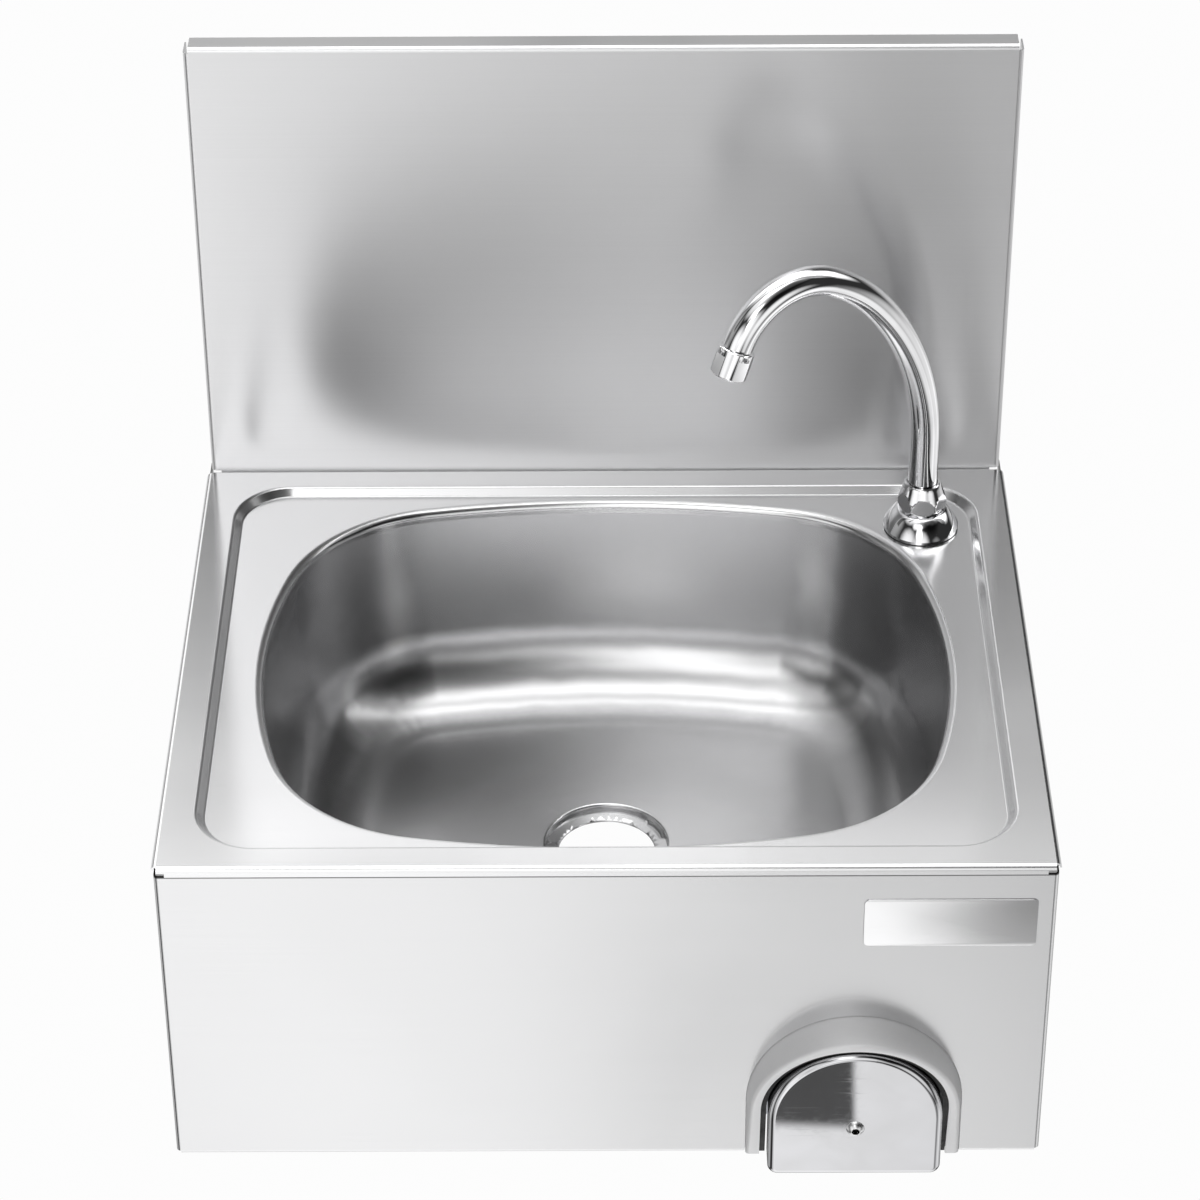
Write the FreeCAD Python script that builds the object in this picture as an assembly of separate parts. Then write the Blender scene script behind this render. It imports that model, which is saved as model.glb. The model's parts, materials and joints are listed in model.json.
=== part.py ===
import FreeCAD, Part
import math
import os

Vector = FreeCAD.Vector
os.makedirs("parts", exist_ok=True)

# A wall-hung stainless steel wash basin worked by the knee, in millimetres.
# Origin: on the wall, midway between the two upper wall bolts.
# X runs to the right of a person at the basin, Y into the wall, Z up.

# ---- driving dimensions: sheet metal ----
sheet = 1.0                  # thickness of the folded steel
deck_width = 500.0
deck_depth = 400.0           # front lip to the face of the backsplash
apron_height = 211.0         # deck surface down to the lower edge
splash_height = 295.0        # backsplash above the deck
splash_tray = 15.0           # backsplash face to the wall
splash_inset = 2.7           # backsplash inside the sides of the deck
splash_bend = 3.0
bolt_drop = 30.0             # wall bolts below the deck surface
weld_gap = 0.2               # between sheets that are only screwed or riveted

lip_height = 5.5             # turned-down edge of the deck
lip_radius = 3.0
corner_relief = 4.5          # opened beside each front corner in the turned-down edge
border = 18.0                # flat rim outside the step
side_border = 19.5
step_run = 6.5
step_drop = 5.0
step_bend = 2.4
step_corner = 36.0

bowl_side_margin = 49.0      # sides of the deck to the bowl
bowl_front_margin = 28.0     # front lip to the bowl
bowl_back_margin = 31.0      # face of the backsplash to the bowl
bowl_long_radius = 600.0     # plan radius of the front and back sides
bowl_short_radius = 330.0    # plan radius of the left and right sides
bowl_corner_radius = 100.0
rim_radius = 5.0             # roll of the plateau into the bowl
rim_collar = 2.5             # straight collar under the roll
bowl_depth = 139.0           # deck surface to the drain seat
wall_draft = 5.0             # degrees
floor_radius = 50.0          # fillet between wall and floor
floor_fall = 4.0             # fall of the floor to the drain
floor_dish_radius = 108.0    # where the fall begins

drain_seat_radius = 36.8
drain_recess = 5.0
drain_lip = 2.0
drain_ledge_fall = 1.6
drain_radius = 29.5

# ---- driving dimensions: apron ----
apron_inset = 1.2            # apron face behind the face of the deck lip
apron_bend = 2.5
apron_top_flange = 14.0
apron_hem = 12.0
apron_rear_flange = 22.0
lower_bolt_height = 26.0     # above the lower edge
lower_bolt_radius = 3.5

# ---- driving dimensions: wall rail ----
rail_height = 32.0
rail_inset = 35.0            # ends of the rail inside the sides of the deck
rail_lip = 11.0
rail_bend = 2.0
wall_bolt_inset = 65.0       # wall bolts from the ends of the rail
wall_bolt_radius = 4.5
rivet_count = 5
rivet_radius = 2.4
rivet_head_radius = 4.6
rivet_head_height = 1.2
rivet_bulb_radius = 3.3
rivet_bulb_length = 3.4

# ---- driving dimensions: knee pad and hood ----
knee_side_margin = 109.0     # right side of the deck to the middle of the pad
arch_height = 41.0           # centre of the arch above the lower edge
hood_radius = 61.5
hood_lip_radius = 57.5
hood_opening_radius = 53.6
hood_reach = 22.0            # how far the hood stands out at its top
hood_foot = 1.6              # and at its lower ends
hood_sheet = 1.2
hood_round = 2.6
hood_flange = 7.0
panel_gap = 0.3              # hood to the cut-out in the panel
pad_radius = 49.5
pad_reach = 20.0             # pad face in front of the panel
pad_wall_depth = 17.0
pad_sheet = 1.5
pad_round = 4.0
pad_corner = 6.0
pad_travel = 10.0
valve_drop = 5.0             # valve axis below the centre of the arch
screw_shank = 3.0            # M6
screw_head_radius = 5.25
screw_head_height = 3.3
screw_socket_across = 4.0
screw_socket_depth = 2.0
screw_length = 14.0
screw_play = 0.2             # radial, in the pad and its plate
pad_plate_radius = 24.0
pad_plate_thickness = 3.0

# ---- driving dimensions: valve ----
rod_radius = 5.0
running = 0.05               # radial clearance of a sliding or turning fit
bracket_standoff = 20.0      # panel face to the bracket plate
bracket_sheet = 2.0
bracket_width = 128.0
bracket_height = 50.0
bracket_foot = 16.0
bracket_bend = 3.0
stud_radius = 2.0
stud_inset = 12.0
stud_end = 7.0               # beyond the foot of the bracket
stud_play = 0.3              # radial, in the foot
stud_nut_across = 7.0
stud_nut_height = 3.2
stud_washer_radius = 4.6
stud_washer_thickness = 0.8
neck_radius = 13.0
neck_length = 9.0
neck_wall = 4.0              # neck round the thread of the gland nut
body_radius = 16.5
body_length = 44.0
chamber_radius = 11.0
chamber_length = 26.0
gland_length = 12.0
gland_head = 5.0
gland_across = 22.0
lock_nut_across = 36.0
lock_nut_height = 5.0
piston_length = 8.0
piston_play = 0.5            # radial, in the chamber; the seal takes it up
piston_groove = 2.4
piston_groove_depth = 3.0
piston_seal_width = 2.0
half_inch_radius = 10.48     # outside of a G 1/2 thread
half_inch_bore = 7.0
inlet_boss_radius = 12.5
inlet_boss_length = 17.5
inlet_setback = 16.0         # inlet axis before the back of the body
inlet_hex_across = 24.0
inlet_hex_height = 4.0
inlet_thread = 11.0
inlet_wall = 1.5             # nipple round its bore
strainer_seat = 5.5          # depth of the strainer's rim in the nipple
strainer_rim = 2.4           # nipple wall round the strainer
outlet_thread = 10.0
outlet_shoulder = 4.0
spring_wire = 1.5
spring_radius = 8.6          # to the middle of the wire
spring_turns = 5
spring_seat = 2.5            # collar on the rod, in front of the spring
spring_seat_margin = 0.6

# ---- driving dimensions: tap ----
tap_side_margin = 55.5       # right side of the deck to the tap's axis
tap_back_margin = 57.5       # face of the backsplash to the tap's axis
tap_hole_radius = 11.0
spout_turn = 31.2            # degrees from -X towards the front
pipe_radius = 9.0
pipe_wall = 1.0
rising_radius = 165.0        # the spout's three bends, and their turns in degrees
rising_turn = 41.0
crown_radius = 106.0
crown_turn = 23.5
falling_radius = 45.7
falling_turn = 93.4
spout_tail = 1.6             # straight end before the aerator
spout_rise = 63.0            # deck plateau to the first bend
flange_radius = 23.0
flange_height = 14.0
flange_rim = 1.6
flange_sheet = 1.4
flange_seal = 0.6
flange_seal_width = 3.0
thread_play = 0.1            # radial, round the tap's shank
cone_nut_across = 26.4
cone_nut_height = 19.0
cone_nut_wide = 7.0          # height of the widest ring of the nut
cone_nut_low_radius = 12.6
cone_nut_wide_radius = 14.9
cone_nut_top_radius = 11.1
shank_length = 62.0          # below the deck
shank_head = 7.5             # threaded end inside the cone nut
collar_radius = 10.3
collar_height = 3.0
slip_ring_height = 2.0
slip_clearance = 0.3
spigot_radius = 6.9
spigot_length = 15.0
o_ring_wire = 1.3
seal_play = 0.1
aerator_radius = 10.9
aerator_length = 17.5
aerator_floor = 1.4          # turned-in end round the cartridge
aerator_flats = 20.4
aerator_bore = 9.2
aerator_lip = 1.8
pipe_thread = 6.0            # pipe end inside the aerator
washer_thickness = 2.0
shank_nut_across = 30.0
shank_nut_height = 7.0
shank_washer = 1.5
backing_radius = 19.0

# ---- driving dimensions: hose ----
hose_radius = 5.8
hose_nut_across = 24.0
hose_nut_height = 13.0
ferrule_radius = 7.2
ferrule_length = 17.0
hose_washer = 1.6

# ---- levels worked out from them ----
deck_z = bolt_drop
bottom_z = deck_z - apron_height
splash_y = -splash_tray
front_y = splash_y - deck_depth
panel_y = front_y + apron_inset
plateau_z = deck_z - step_drop
collar_z = plateau_z - rim_radius - rim_collar
seat_z = deck_z - bowl_depth
half_width = deck_width / 2
half_turn, full_turn = 180.0, 360.0
splash_width = deck_width - 2 * splash_inset
rail_length = deck_width - 2 * rail_inset
wall_bolt_spacing = rail_length - 2 * wall_bolt_inset
bowl_length = deck_width - 2 * bowl_side_margin
bowl_width = deck_depth - bowl_front_margin - bowl_back_margin
bowl_y = front_y + bowl_front_margin + bowl_width / 2
knee_x = half_width - knee_side_margin
apron_half = half_width - apron_inset
arch_z = bottom_z + arch_height
valve_z = arch_z - valve_drop
tap_x = half_width - tap_side_margin
tap_y = splash_y - tap_back_margin
spout_bends = [(rising_radius, rising_turn), (crown_radius, crown_turn), (falling_radius, falling_turn)]


# ---- shared makers ----
def save(shape, name):
    shape.exportStep("parts/" + name + ".step")


def box(x0, x1, y0, y1, z0, z1):
    return Part.makeBox(x1 - x0, y1 - y0, z1 - z0, Vector(x0, y0, z0))


def cylinder(radius, length, base, direction):
    return Part.makeCylinder(radius, length, base, direction)


def ring(outer, inner, length, base, direction):
    return cylinder(outer, length, base, direction).cut(cylinder(inner, length, base, direction))


def fused(shapes):
    return shapes[0].fuse(shapes[1:]).removeSplitter()


def group(shapes):
    return Part.makeCompound(shapes)


def polygon_face(points):
    return Part.Face(Part.makePolygon(points + [points[0]]))


def turned(profile, base, direction):
    """Turns a closed list of (radius, height) points about an axis."""
    solid = polygon_face([Vector(r, 0, h) for r, h in profile]).revolve(
        Vector(0, 0, 0), Vector(0, 0, 1), 360)
    turn = FreeCAD.Rotation(Vector(0, 0, 1), direction)
    solid.Placement = FreeCAD.Placement(base, turn)
    return solid


def seal_ring(radius, wire, middle, direction):
    """An O-ring of eight-sided section; radius runs to the middle of its wire."""
    corner = wire / 2 / math.cos(math.radians(22.5))
    profile = [(radius + corner * math.cos(math.radians(a)), corner * math.sin(math.radians(a)))
               for a in range(22, 382, 45)]
    return turned(profile, middle, direction)


def hexagon(across, height, base, direction, chamfer=0.08):
    """A nut blank: a hexagon whose corners are turned down at both ends."""
    corner = across / math.sqrt(3)
    points = [Vector(corner * math.cos(math.radians(60 * i)),
                     corner * math.sin(math.radians(60 * i)), 0) for i in range(6)]
    blank = polygon_face(points).extrude(Vector(0, 0, height))
    cut = corner * chamfer
    turned_down = turned([(0, 0), (corner - cut, 0), (corner, cut), (corner, height - cut),
                          (corner - cut, height), (0, height)], Vector(0, 0, 0), Vector(0, 0, 1))
    solid = blank.common(turned_down)
    solid.Placement = FreeCAD.Placement(base, FreeCAD.Rotation(Vector(0, 0, 1), direction))
    return solid


def folded_edge(corner, out, fold, along, length, radius, leg, thickness=sheet):
    """The bend and leg that a sheet gets at its edge.

    The sheet ends at corner, with its outer face there. It goes on towards out,
    bends towards fold and runs on until the leg is that far from the outer face.
    """
    def at(u, v):
        return corner + out * u + fold * v
    diagonal = math.sqrt(0.5)
    inner = radius - thickness
    outer_bend = Part.Arc(at(0, 0), at(radius * diagonal, radius * (1 - diagonal)), at(radius, radius))
    inner_bend = Part.Arc(at(inner, radius), at(inner * diagonal, radius - inner * diagonal),
                          at(0, thickness))
    edges = [outer_bend.toShape(),
             Part.makeLine(at(radius, radius), at(radius, leg)),
             Part.makeLine(at(radius, leg), at(inner, leg)),
             Part.makeLine(at(inner, leg), at(inner, radius)),
             inner_bend.toShape(),
             Part.makeLine(at(0, thickness), at(0, 0))]
    return Part.Face(Part.Wire(edges)).extrude(along * length)


right, left = Vector(1, 0, 0), Vector(-1, 0, 0)
back, front = Vector(0, 1, 0), Vector(0, -1, 0)
up, down = Vector(0, 0, 1), Vector(0, 0, -1)


# ---- closed loops in plan, made of arcs and straight runs ----
class Loop:
    """A tangent loop seen from above, walked anticlockwise.

    Arcs are (centre x, centre y, radius, first angle, last angle) in degrees. A
    straight run joins one arc to the next where their ends don't meet.
    """

    def __init__(self, arcs):
        self.arcs = arcs

    def arc_point(self, arc, angle, inset):
        x, y, radius = arc[:3]
        turn = math.radians(angle)
        return (x + (radius - inset) * math.cos(turn), y + (radius - inset) * math.sin(turn))

    def wire(self, inset, z):
        edges = []
        for i, arc in enumerate(self.arcs):
            ends = [Vector(*self.arc_point(arc, a, inset), z)
                    for a in (arc[3], (arc[3] + arc[4]) / 2, arc[4])]
            edges.append(Part.Arc(*ends).toShape())
            nxt = self.arcs[(i + 1) % len(self.arcs)]
            start = Vector(*self.arc_point(nxt, nxt[3], inset), z)
            if start.distanceToPoint(ends[2]) > 0.01:
                edges.append(Part.makeLine(ends[2], start))
        return Part.Wire(edges)

    def prism(self, inset, z0, z1):
        return Part.Face(self.wire(inset, z0)).extrude(Vector(0, 0, z1 - z0))

    def swept(self, profile):
        """Carries a closed profile of (inset, height) edges round the loop."""
        pieces = []
        for i, arc in enumerate(self.arcs):
            x, y, radius = arc[:3]
            pieces.append(profile_face(profile, radius, 1).revolve(
                Vector(0, 0, 0), Vector(0, 0, 1), arc[4] - arc[3]))
            pieces[-1].Placement = FreeCAD.Placement(
                Vector(x, y, 0), FreeCAD.Rotation(Vector(0, 0, 1), arc[3]))
            nxt = self.arcs[(i + 1) % len(self.arcs)]
            end = Vector(*self.arc_point(arc, arc[4], 0), 0)
            start = Vector(*self.arc_point(nxt, nxt[3], 0), 0)
            run = start - end
            if run.Length > 0.01:
                straight = profile_face(profile, 0, 1).extrude(Vector(0, run.Length, 0))
                straight.Placement = FreeCAD.Placement(
                    end, FreeCAD.Rotation(Vector(0, 0, 1), arc[4]))
                pieces.append(straight)
        return fused(pieces)


def profile_face(profile, radius, sign):
    """A face in the XZ plane from ("line", point, point) and ("arc", point, middle, point)."""
    edges = []
    for kind, *points in profile:
        ends = [Vector(radius - sign * inset, 0, z) for inset, z in points]
        edges.append(Part.makeLine(*ends) if kind == "line" else Part.Arc(*ends).toShape())
    return Part.Face(Part.Wire(edges))


def arc_points(centre, radius, first, last):
    """First, middle and last point of an arc in the (inset, height) plane."""
    return [(centre[0] + radius * math.cos(math.radians(a)), centre[1] + radius * math.sin(math.radians(a)))
            for a in (first, (first + last) / 2, last)]


def rounded_rectangle(half_x, half_y, centre_y, radius):
    corners = [(1, -1, -90), (1, 1, 0), (-1, 1, 90), (-1, -1, 180)]
    return Loop([(sx * (half_x - radius), centre_y + sy * (half_y - radius), radius, a, a + 90)
                 for sx, sy, a in corners])


def bowl_loop():
    """The rim of the bowl: eight tangent arcs, bowed on all four sides."""
    half_l, half_w = bowl_length / 2, bowl_width / 2
    long_y = half_w - bowl_long_radius
    short_x = half_l - bowl_short_radius
    reach_long = bowl_long_radius - bowl_corner_radius
    reach_short = bowl_short_radius - bowl_corner_radius
    gap = math.hypot(short_x, long_y)
    along = (reach_long ** 2 - reach_short ** 2 + gap ** 2) / (2 * gap)
    aside = math.sqrt(reach_long ** 2 - along ** 2)
    ux, uy = short_x / gap, -long_y / gap
    corner_x = ux * along + uy * aside
    corner_y = long_y + uy * along - ux * aside
    low = math.degrees(math.atan2(corner_y, corner_x - short_x))
    high = math.degrees(math.atan2(corner_y - long_y, corner_x))
    rc = bowl_corner_radius
    return Loop([
        (short_x, bowl_y, bowl_short_radius, -low, low),
        (corner_x, bowl_y + corner_y, rc, low, high),
        (0, bowl_y + long_y, bowl_long_radius, high, half_turn - high),
        (-corner_x, bowl_y + corner_y, rc, half_turn - high, half_turn - low),
        (-short_x, bowl_y, bowl_short_radius, half_turn - low, half_turn + low),
        (-corner_x, bowl_y - corner_y, rc, half_turn + low, half_turn + high),
        (0, bowl_y - long_y, bowl_long_radius, half_turn + high, full_turn - high),
        (corner_x, bowl_y - corner_y, rc, full_turn - high, full_turn - low)])


bowl_rim = bowl_loop()


# ---- deck ----
def s_profile(run, drop, bend, top, thickness):
    """A joggle in a sheet: a convex bend, a slope and a concave bend of equal angle."""
    # the angle whose two bends and slope give the run and the drop
    low, high = 1.0, 89.0
    for _ in range(60):
        angle = (low + high) / 2
        t = math.radians(angle)
        slope_run = run - 2 * bend * math.sin(t)
        fall = 2 * bend * (1 - math.cos(t)) + slope_run * math.tan(t)
        low, high = (angle, high) if fall < drop else (low, angle)
    inner = bend - thickness / 2
    outer = bend + thickness / 2
    mid = top - thickness / 2
    first = (0, mid - bend)
    second = (run, mid - drop + bend)
    over = arc_points(first, outer, 90, 90 - angle)
    under = arc_points(first, inner, 90, 90 - angle)
    foot_top = arc_points(second, inner, 270 - angle, 270)
    foot_low = arc_points(second, outer, 270 - angle, 270)
    return [("arc", *over), ("line", over[2], foot_top[0]), ("arc", *foot_top),
            ("line", foot_top[2], foot_low[2]), ("arc", *reversed(foot_low)),
            ("line", foot_low[0], under[2]), ("arc", *reversed(under)),
            ("line", under[0], over[0])]


def make_deck():
    step = rounded_rectangle(half_width - side_border, (deck_depth - 2 * border) / 2,
                             front_y + deck_depth / 2, step_corner)
    r = lip_radius
    rim = box(-half_width + r, half_width - r, front_y + r, splash_y - r, deck_z - sheet, deck_z)
    rim = rim.cut(step.prism(0, deck_z - 2 * sheet, deck_z + sheet))
    joggle = step.swept(s_profile(step_run, step_drop, step_bend, deck_z, sheet))
    plateau = step.prism(step_run, plateau_z - sheet, plateau_z)
    plateau = plateau.cut(bowl_rim.prism(-rim_radius, plateau_z - 2 * sheet, plateau_z + sheet))
    roll_centre = (-rim_radius, plateau_z - rim_radius)
    outer = arc_points(roll_centre, rim_radius, 90, 0)
    inner = arc_points(roll_centre, rim_radius - sheet, 90, 0)
    collar = bowl_rim.swept([
        ("arc", *outer), ("line", outer[2], (0, collar_z)), ("line", (0, collar_z), (-sheet, collar_z)),
        ("line", (-sheet, collar_z), inner[2]), ("arc", *reversed(inner)), ("line", inner[0], outer[0])])
    width, depth = deck_width - 2 * r, deck_depth - 2 * r
    lips = [
        folded_edge(Vector(-half_width + r, front_y + r, deck_z), front, down, right, width, r, lip_height),
        folded_edge(Vector(-half_width + r, front_y + r, deck_z), left, down, back, depth, r, lip_height),
        folded_edge(Vector(half_width - r, front_y + r, deck_z), right, down, back, depth, r, lip_height),
        folded_edge(Vector(-half_width + r, splash_y - r - weld_gap, deck_z), back, down, right, width, r,
                    rail_bottom() + rail_lip)]
    rear_strip = box(-half_width + r, half_width - r, splash_y - r - 1, splash_y - r - weld_gap,
                     deck_z - sheet, deck_z)
    rim = rim.cut(box(-half_width, half_width, splash_y - r - weld_gap, splash_y, deck_z - sheet, deck_z))
    deck = fused([rim, joggle, plateau, collar, rear_strip] + lips)
    hole = cylinder(tap_hole_radius, 4 * sheet, Vector(tap_x, tap_y, plateau_z - 3 * sheet), up)
    reliefs = front_corners(deck_z - lip_height - sheet, deck_z - lip_radius)
    return cut_rivet_holes(deck.cut([hole] + reliefs))


def front_corners(z0, z1):
    """The blocks that open the folds beside the two front corners."""
    reach = lip_radius + corner_relief
    return [box(min(x, x - side * reach), max(x, x - side * reach), front_y, front_y + reach, z0, z1)
            for side, x in ((-1, -half_width), (1, half_width))]


def rail_bottom():
    """Lower edge of the rail's web, measured down from the deck surface."""
    return bolt_drop + rail_height / 2


def rivet_places():
    pitch = (rail_length - 4 * rail_lip) / (rivet_count - 1)
    z = deck_z - rail_bottom() - rail_lip / 2
    return [Vector((i - (rivet_count - 1) / 2) * pitch, splash_y, z) for i in range(rivet_count)]


def cut_rivet_holes(shape):
    for place in rivet_places():
        shape = shape.cut(cylinder(rivet_radius, 20, place + front * 10, back))
    return shape


# ---- bowl ----
def make_bowl():
    floor_z = seat_z + floor_fall
    draft = math.radians(wall_draft)
    # the fillet is tangent to the drafted wall and to the level edge of the floor
    centre_z = floor_z + floor_radius
    wall_fall = collar_z - (centre_z - floor_radius * math.sin(draft))
    wall_run = wall_fall * math.tan(draft)
    centre = (wall_run + floor_radius * math.cos(draft), centre_z)
    inside = arc_points(centre, floor_radius, 180 + wall_draft, 270)
    outside = arc_points(centre, floor_radius + sheet, 180 + wall_draft, 270)
    walls = bowl_rim.swept([
        ("line", (0, collar_z), inside[0]), ("arc", *inside), ("line", inside[2], outside[2]),
        ("arc", *reversed(outside)), ("line", outside[0], (-sheet, collar_z)),
        ("line", (-sheet, collar_z), (0, collar_z))])
    # a shallow dish in the floor falls to the round seat of the drain
    seat_outer = drain_seat_radius + drain_lip
    floor = bowl_rim.prism(centre[0], floor_z - sheet, floor_z)
    floor = floor.cut(cylinder(floor_dish_radius, floor_radius, Vector(0, bowl_y, seat_z - sheet), up))
    dish = turned([(seat_outer, seat_z), (seat_outer, seat_z - sheet),
                   (floor_dish_radius, floor_z - sheet), (floor_dish_radius, floor_z)],
                  Vector(0, bowl_y, 0), up)
    return fused([walls, floor, dish, drain_seat(seat_outer, sheet)])


def drain_seat(seat_outer, thick):
    """The pressed recess round the drain hole: a rolled lip, a short wall and a ledge."""
    lip = arc_points((seat_outer, seat_z - drain_lip), drain_lip, 90, 180)
    wall_low = seat_z - drain_recess
    ledge_low = wall_low - drain_ledge_fall
    edges = [Part.Arc(*[Vector(r, 0, z) for r, z in lip]).toShape()]
    path = [lip[2], (drain_seat_radius, wall_low), (drain_radius, ledge_low),
            (drain_radius, ledge_low - sheet), (drain_seat_radius + sheet, wall_low - sheet),
            (drain_seat_radius + sheet, seat_z - thick - drain_lip / 2), (seat_outer, seat_z - thick),
            lip[0]]
    for a, b in zip(path, path[1:]):
        edges.append(Part.makeLine(Vector(a[0], 0, a[1]), Vector(b[0], 0, b[1])))
    solid = Part.Face(Part.Wire(edges)).revolve(Vector(0, 0, 0), Vector(0, 0, 1), 360)
    solid.Placement = FreeCAD.Placement(Vector(0, bowl_y, 0), FreeCAD.Rotation())
    return solid


# ---- arch shapes of the knee pad and its hood ----
def arch_wire(radius, y, foot_z, corner=0.0):
    """A round-topped outline in the plane of the panel, with straight legs to foot_z."""
    def at(x, z):
        return Vector(knee_x + x, y, z)
    edges = [Part.Arc(at(radius, arch_z), at(0, arch_z + radius), at(-radius, arch_z)).toShape(),
             Part.makeLine(at(-radius, arch_z), at(-radius, foot_z + corner))]
    if corner:
        k = corner * (1 - math.sqrt(0.5))
        edges.append(Part.Arc(at(-radius, foot_z + corner), at(-radius + k, foot_z + k),
                              at(-radius + corner, foot_z)).toShape())
    edges.append(Part.makeLine(at(-radius + corner, foot_z), at(radius - corner, foot_z)))
    if corner:
        edges.append(Part.Arc(at(radius - corner, foot_z), at(radius - k, foot_z + k),
                              at(radius, foot_z + corner)).toShape())
    edges.append(Part.makeLine(at(radius, foot_z + corner), at(radius, arch_z)))
    return Part.Wire(edges)


def arch_prism(radius, y0, y1, foot_z, corner=0.0):
    return Part.Face(arch_wire(radius, y0, foot_z, corner)).extrude(Vector(0, y1 - y0, 0))


# ---- apron ----
def make_apron():
    t, r = sheet, apron_bend
    top_z = deck_z - t
    x0, x1 = -apron_half + r, apron_half - r
    z0, z1 = bottom_z + r, top_z - r
    side_depth = -panel_y - r
    plates = [box(x0, x1, panel_y, panel_y + t, z0, z1)]
    for side, x in ((left, x0), (right, x1)):
        # the corner bend runs on as the side of the apron
        plates.append(folded_edge(Vector(x, panel_y, z0), side, back, up, z1 - z0, r, side_depth))
        edge_x = x + side.x * r
        inward = side * -1
        run = side_depth - r
        plates.append(folded_edge(Vector(edge_x, panel_y + r, z0), down, inward, back, run, r, apron_hem))
        plates.append(folded_edge(Vector(edge_x, panel_y + r, z1), up, inward, back, run, r,
                                  apron_top_flange))
        plates.append(folded_edge(Vector(edge_x, -r, z0), back, inward, up, rear_top() - z0, r,
                                  apron_rear_flange))
    plates.append(folded_edge(Vector(x0, panel_y, z0), down, back, right, x1 - x0, r, apron_hem))
    plates.append(folded_edge(Vector(x0, panel_y, z1), up, back, right, x1 - x0, r, apron_top_flange))
    apron = fused(plates)
    # the deck's rear flange and the backsplash pass between the sides
    apron = apron.cut(box(-apron_half + t, apron_half - t, splash_y - lip_radius - 2 * weld_gap, 0,
                          rear_top(), deck_z))
    opening = arch_prism(hood_radius + panel_gap, panel_y - 5, panel_y + apron_hem + 5, bottom_z - 5)
    apron = apron.cut(opening)
    for x in (-1, 1):
        hole = cylinder(lower_bolt_radius, 20, Vector(x * lower_bolt_x(), -10, lower_bolt_z()), back)
        apron = apron.cut(hole)
    return apron.cut(front_corners(deck_z - lip_height - sheet / 2, deck_z))


def rear_top():
    """The rear flanges stop under the wall rail."""
    return deck_z - rail_bottom() - rail_lip - 2


def lower_bolt_x():
    return apron_half - apron_rear_flange / 2


def lower_bolt_z():
    return bottom_z + lower_bolt_height


# ---- backsplash ----
def make_backsplash():
    t, r = sheet, splash_bend
    top = deck_z + splash_height
    skirt = deck_z - rail_bottom() - rail_lip
    half = splash_width / 2
    x0, x1 = -half + r, half - r
    face = box(x0, x1, splash_y, splash_y + t, deck_z, top - r)
    lower = box(x0 + lip_radius, x1 - lip_radius, splash_y, splash_y + t, skirt, deck_z)
    edges = [folded_edge(Vector(x0, splash_y, top - r), up, back, right, x1 - x0, r, splash_tray),
             folded_edge(Vector(x0, splash_y, deck_z), left, back, up, splash_height - r, r, splash_tray),
             folded_edge(Vector(x1, splash_y, deck_z), right, back, up, splash_height - r, r, splash_tray)]
    return cut_rivet_holes(fused([face, lower] + edges))


# ---- wall rail ----
def make_wall_rail():
    """A hat-shaped rail: its web lies on the wall and its lips carry the basin."""
    t, r = sheet, rail_bend
    half_l, half_h = rail_length / 2, rail_height / 2
    lip_y = splash_y + t + weld_gap
    depth = -lip_y
    pieces = [box(-half_l, half_l, -t, 0, -half_h + r, half_h - r)]
    for side, z in ((up, half_h - r), (down, -half_h + r)):
        leg = Vector(-half_l, 0, z)
        pieces.append(folded_edge(leg, side, front, right, rail_length, r, depth - r))
        edge_z = z + side.z * (r - t)
        pieces.append(folded_edge(Vector(-half_l, -depth + r, edge_z), front, side, right, rail_length,
                                  r, rail_lip + t))
    rail = fused(pieces)
    for x in (-1, 1):
        rail = rail.cut(cylinder(wall_bolt_radius, 4 * t, Vector(x * wall_bolt_spacing / 2, -2 * t, 0), back))
    return cut_rivet_holes(rail)


def make_rivets():
    """Blind rivets through deck flange, backsplash and rail lip."""
    grip = 3 * sheet + 2 * weld_gap
    start = -sheet - weld_gap
    end = start + grip
    profile = [(0, start - rivet_head_height), (rivet_head_radius, start - rivet_head_height / 3),
               (rivet_head_radius, start), (rivet_radius, start), (rivet_radius, end),
               (rivet_bulb_radius, end), (rivet_bulb_radius, end + 0.8 * rivet_bulb_length),
               (0, end + rivet_bulb_length)]
    return group([turned(profile, place, back) for place in rivet_places()])


# ---- knee hood ----
def hood_body(inset):
    """The solid under the hood's skin, drawn in by inset."""
    foot = bottom_z - 12
    reach = hood_reach + 6
    lean = (hood_radius - hood_lip_radius) / hood_reach
    rounds = max(hood_round - inset, 0.4)
    body = Part.makeLoft([arch_wire(hood_radius - inset, panel_y, foot),
                          arch_wire(hood_radius - inset - lean * reach, panel_y - reach, foot)], True, True)
    # the front is a slanted plane, far out at the top and nearly flush at the foot
    rise = arch_height + hood_lip_radius
    tilt = (hood_reach - hood_foot) / rise
    plane_y = panel_y - hood_foot + inset
    wide = 2 * hood_radius
    z_low, z_high = foot - 5, arch_z + hood_radius + 5
    cutter = Part.Face(Part.makePolygon([
        Vector(knee_x - wide, plane_y - (z_low - bottom_z) * tilt, z_low),
        Vector(knee_x - wide, plane_y - (z_high - bottom_z) * tilt, z_high),
        Vector(knee_x - wide, panel_y - 60, z_high),
        Vector(knee_x - wide, panel_y - 60, z_low),
        Vector(knee_x - wide, plane_y - (z_low - bottom_z) * tilt, z_low)]))
    body = body.cut(cutter.extrude(Vector(2 * wide, 0, 0)))
    keep = box(knee_x - wide, knee_x + wide, panel_y - 60, panel_y, bottom_z, arch_z + wide)
    slanted = [e for e in body.Edges if is_on_slant(e, plane_y, tilt)]
    return body.makeFillet(rounds, slanted).common(keep) if slanted else body.common(keep)


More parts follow.
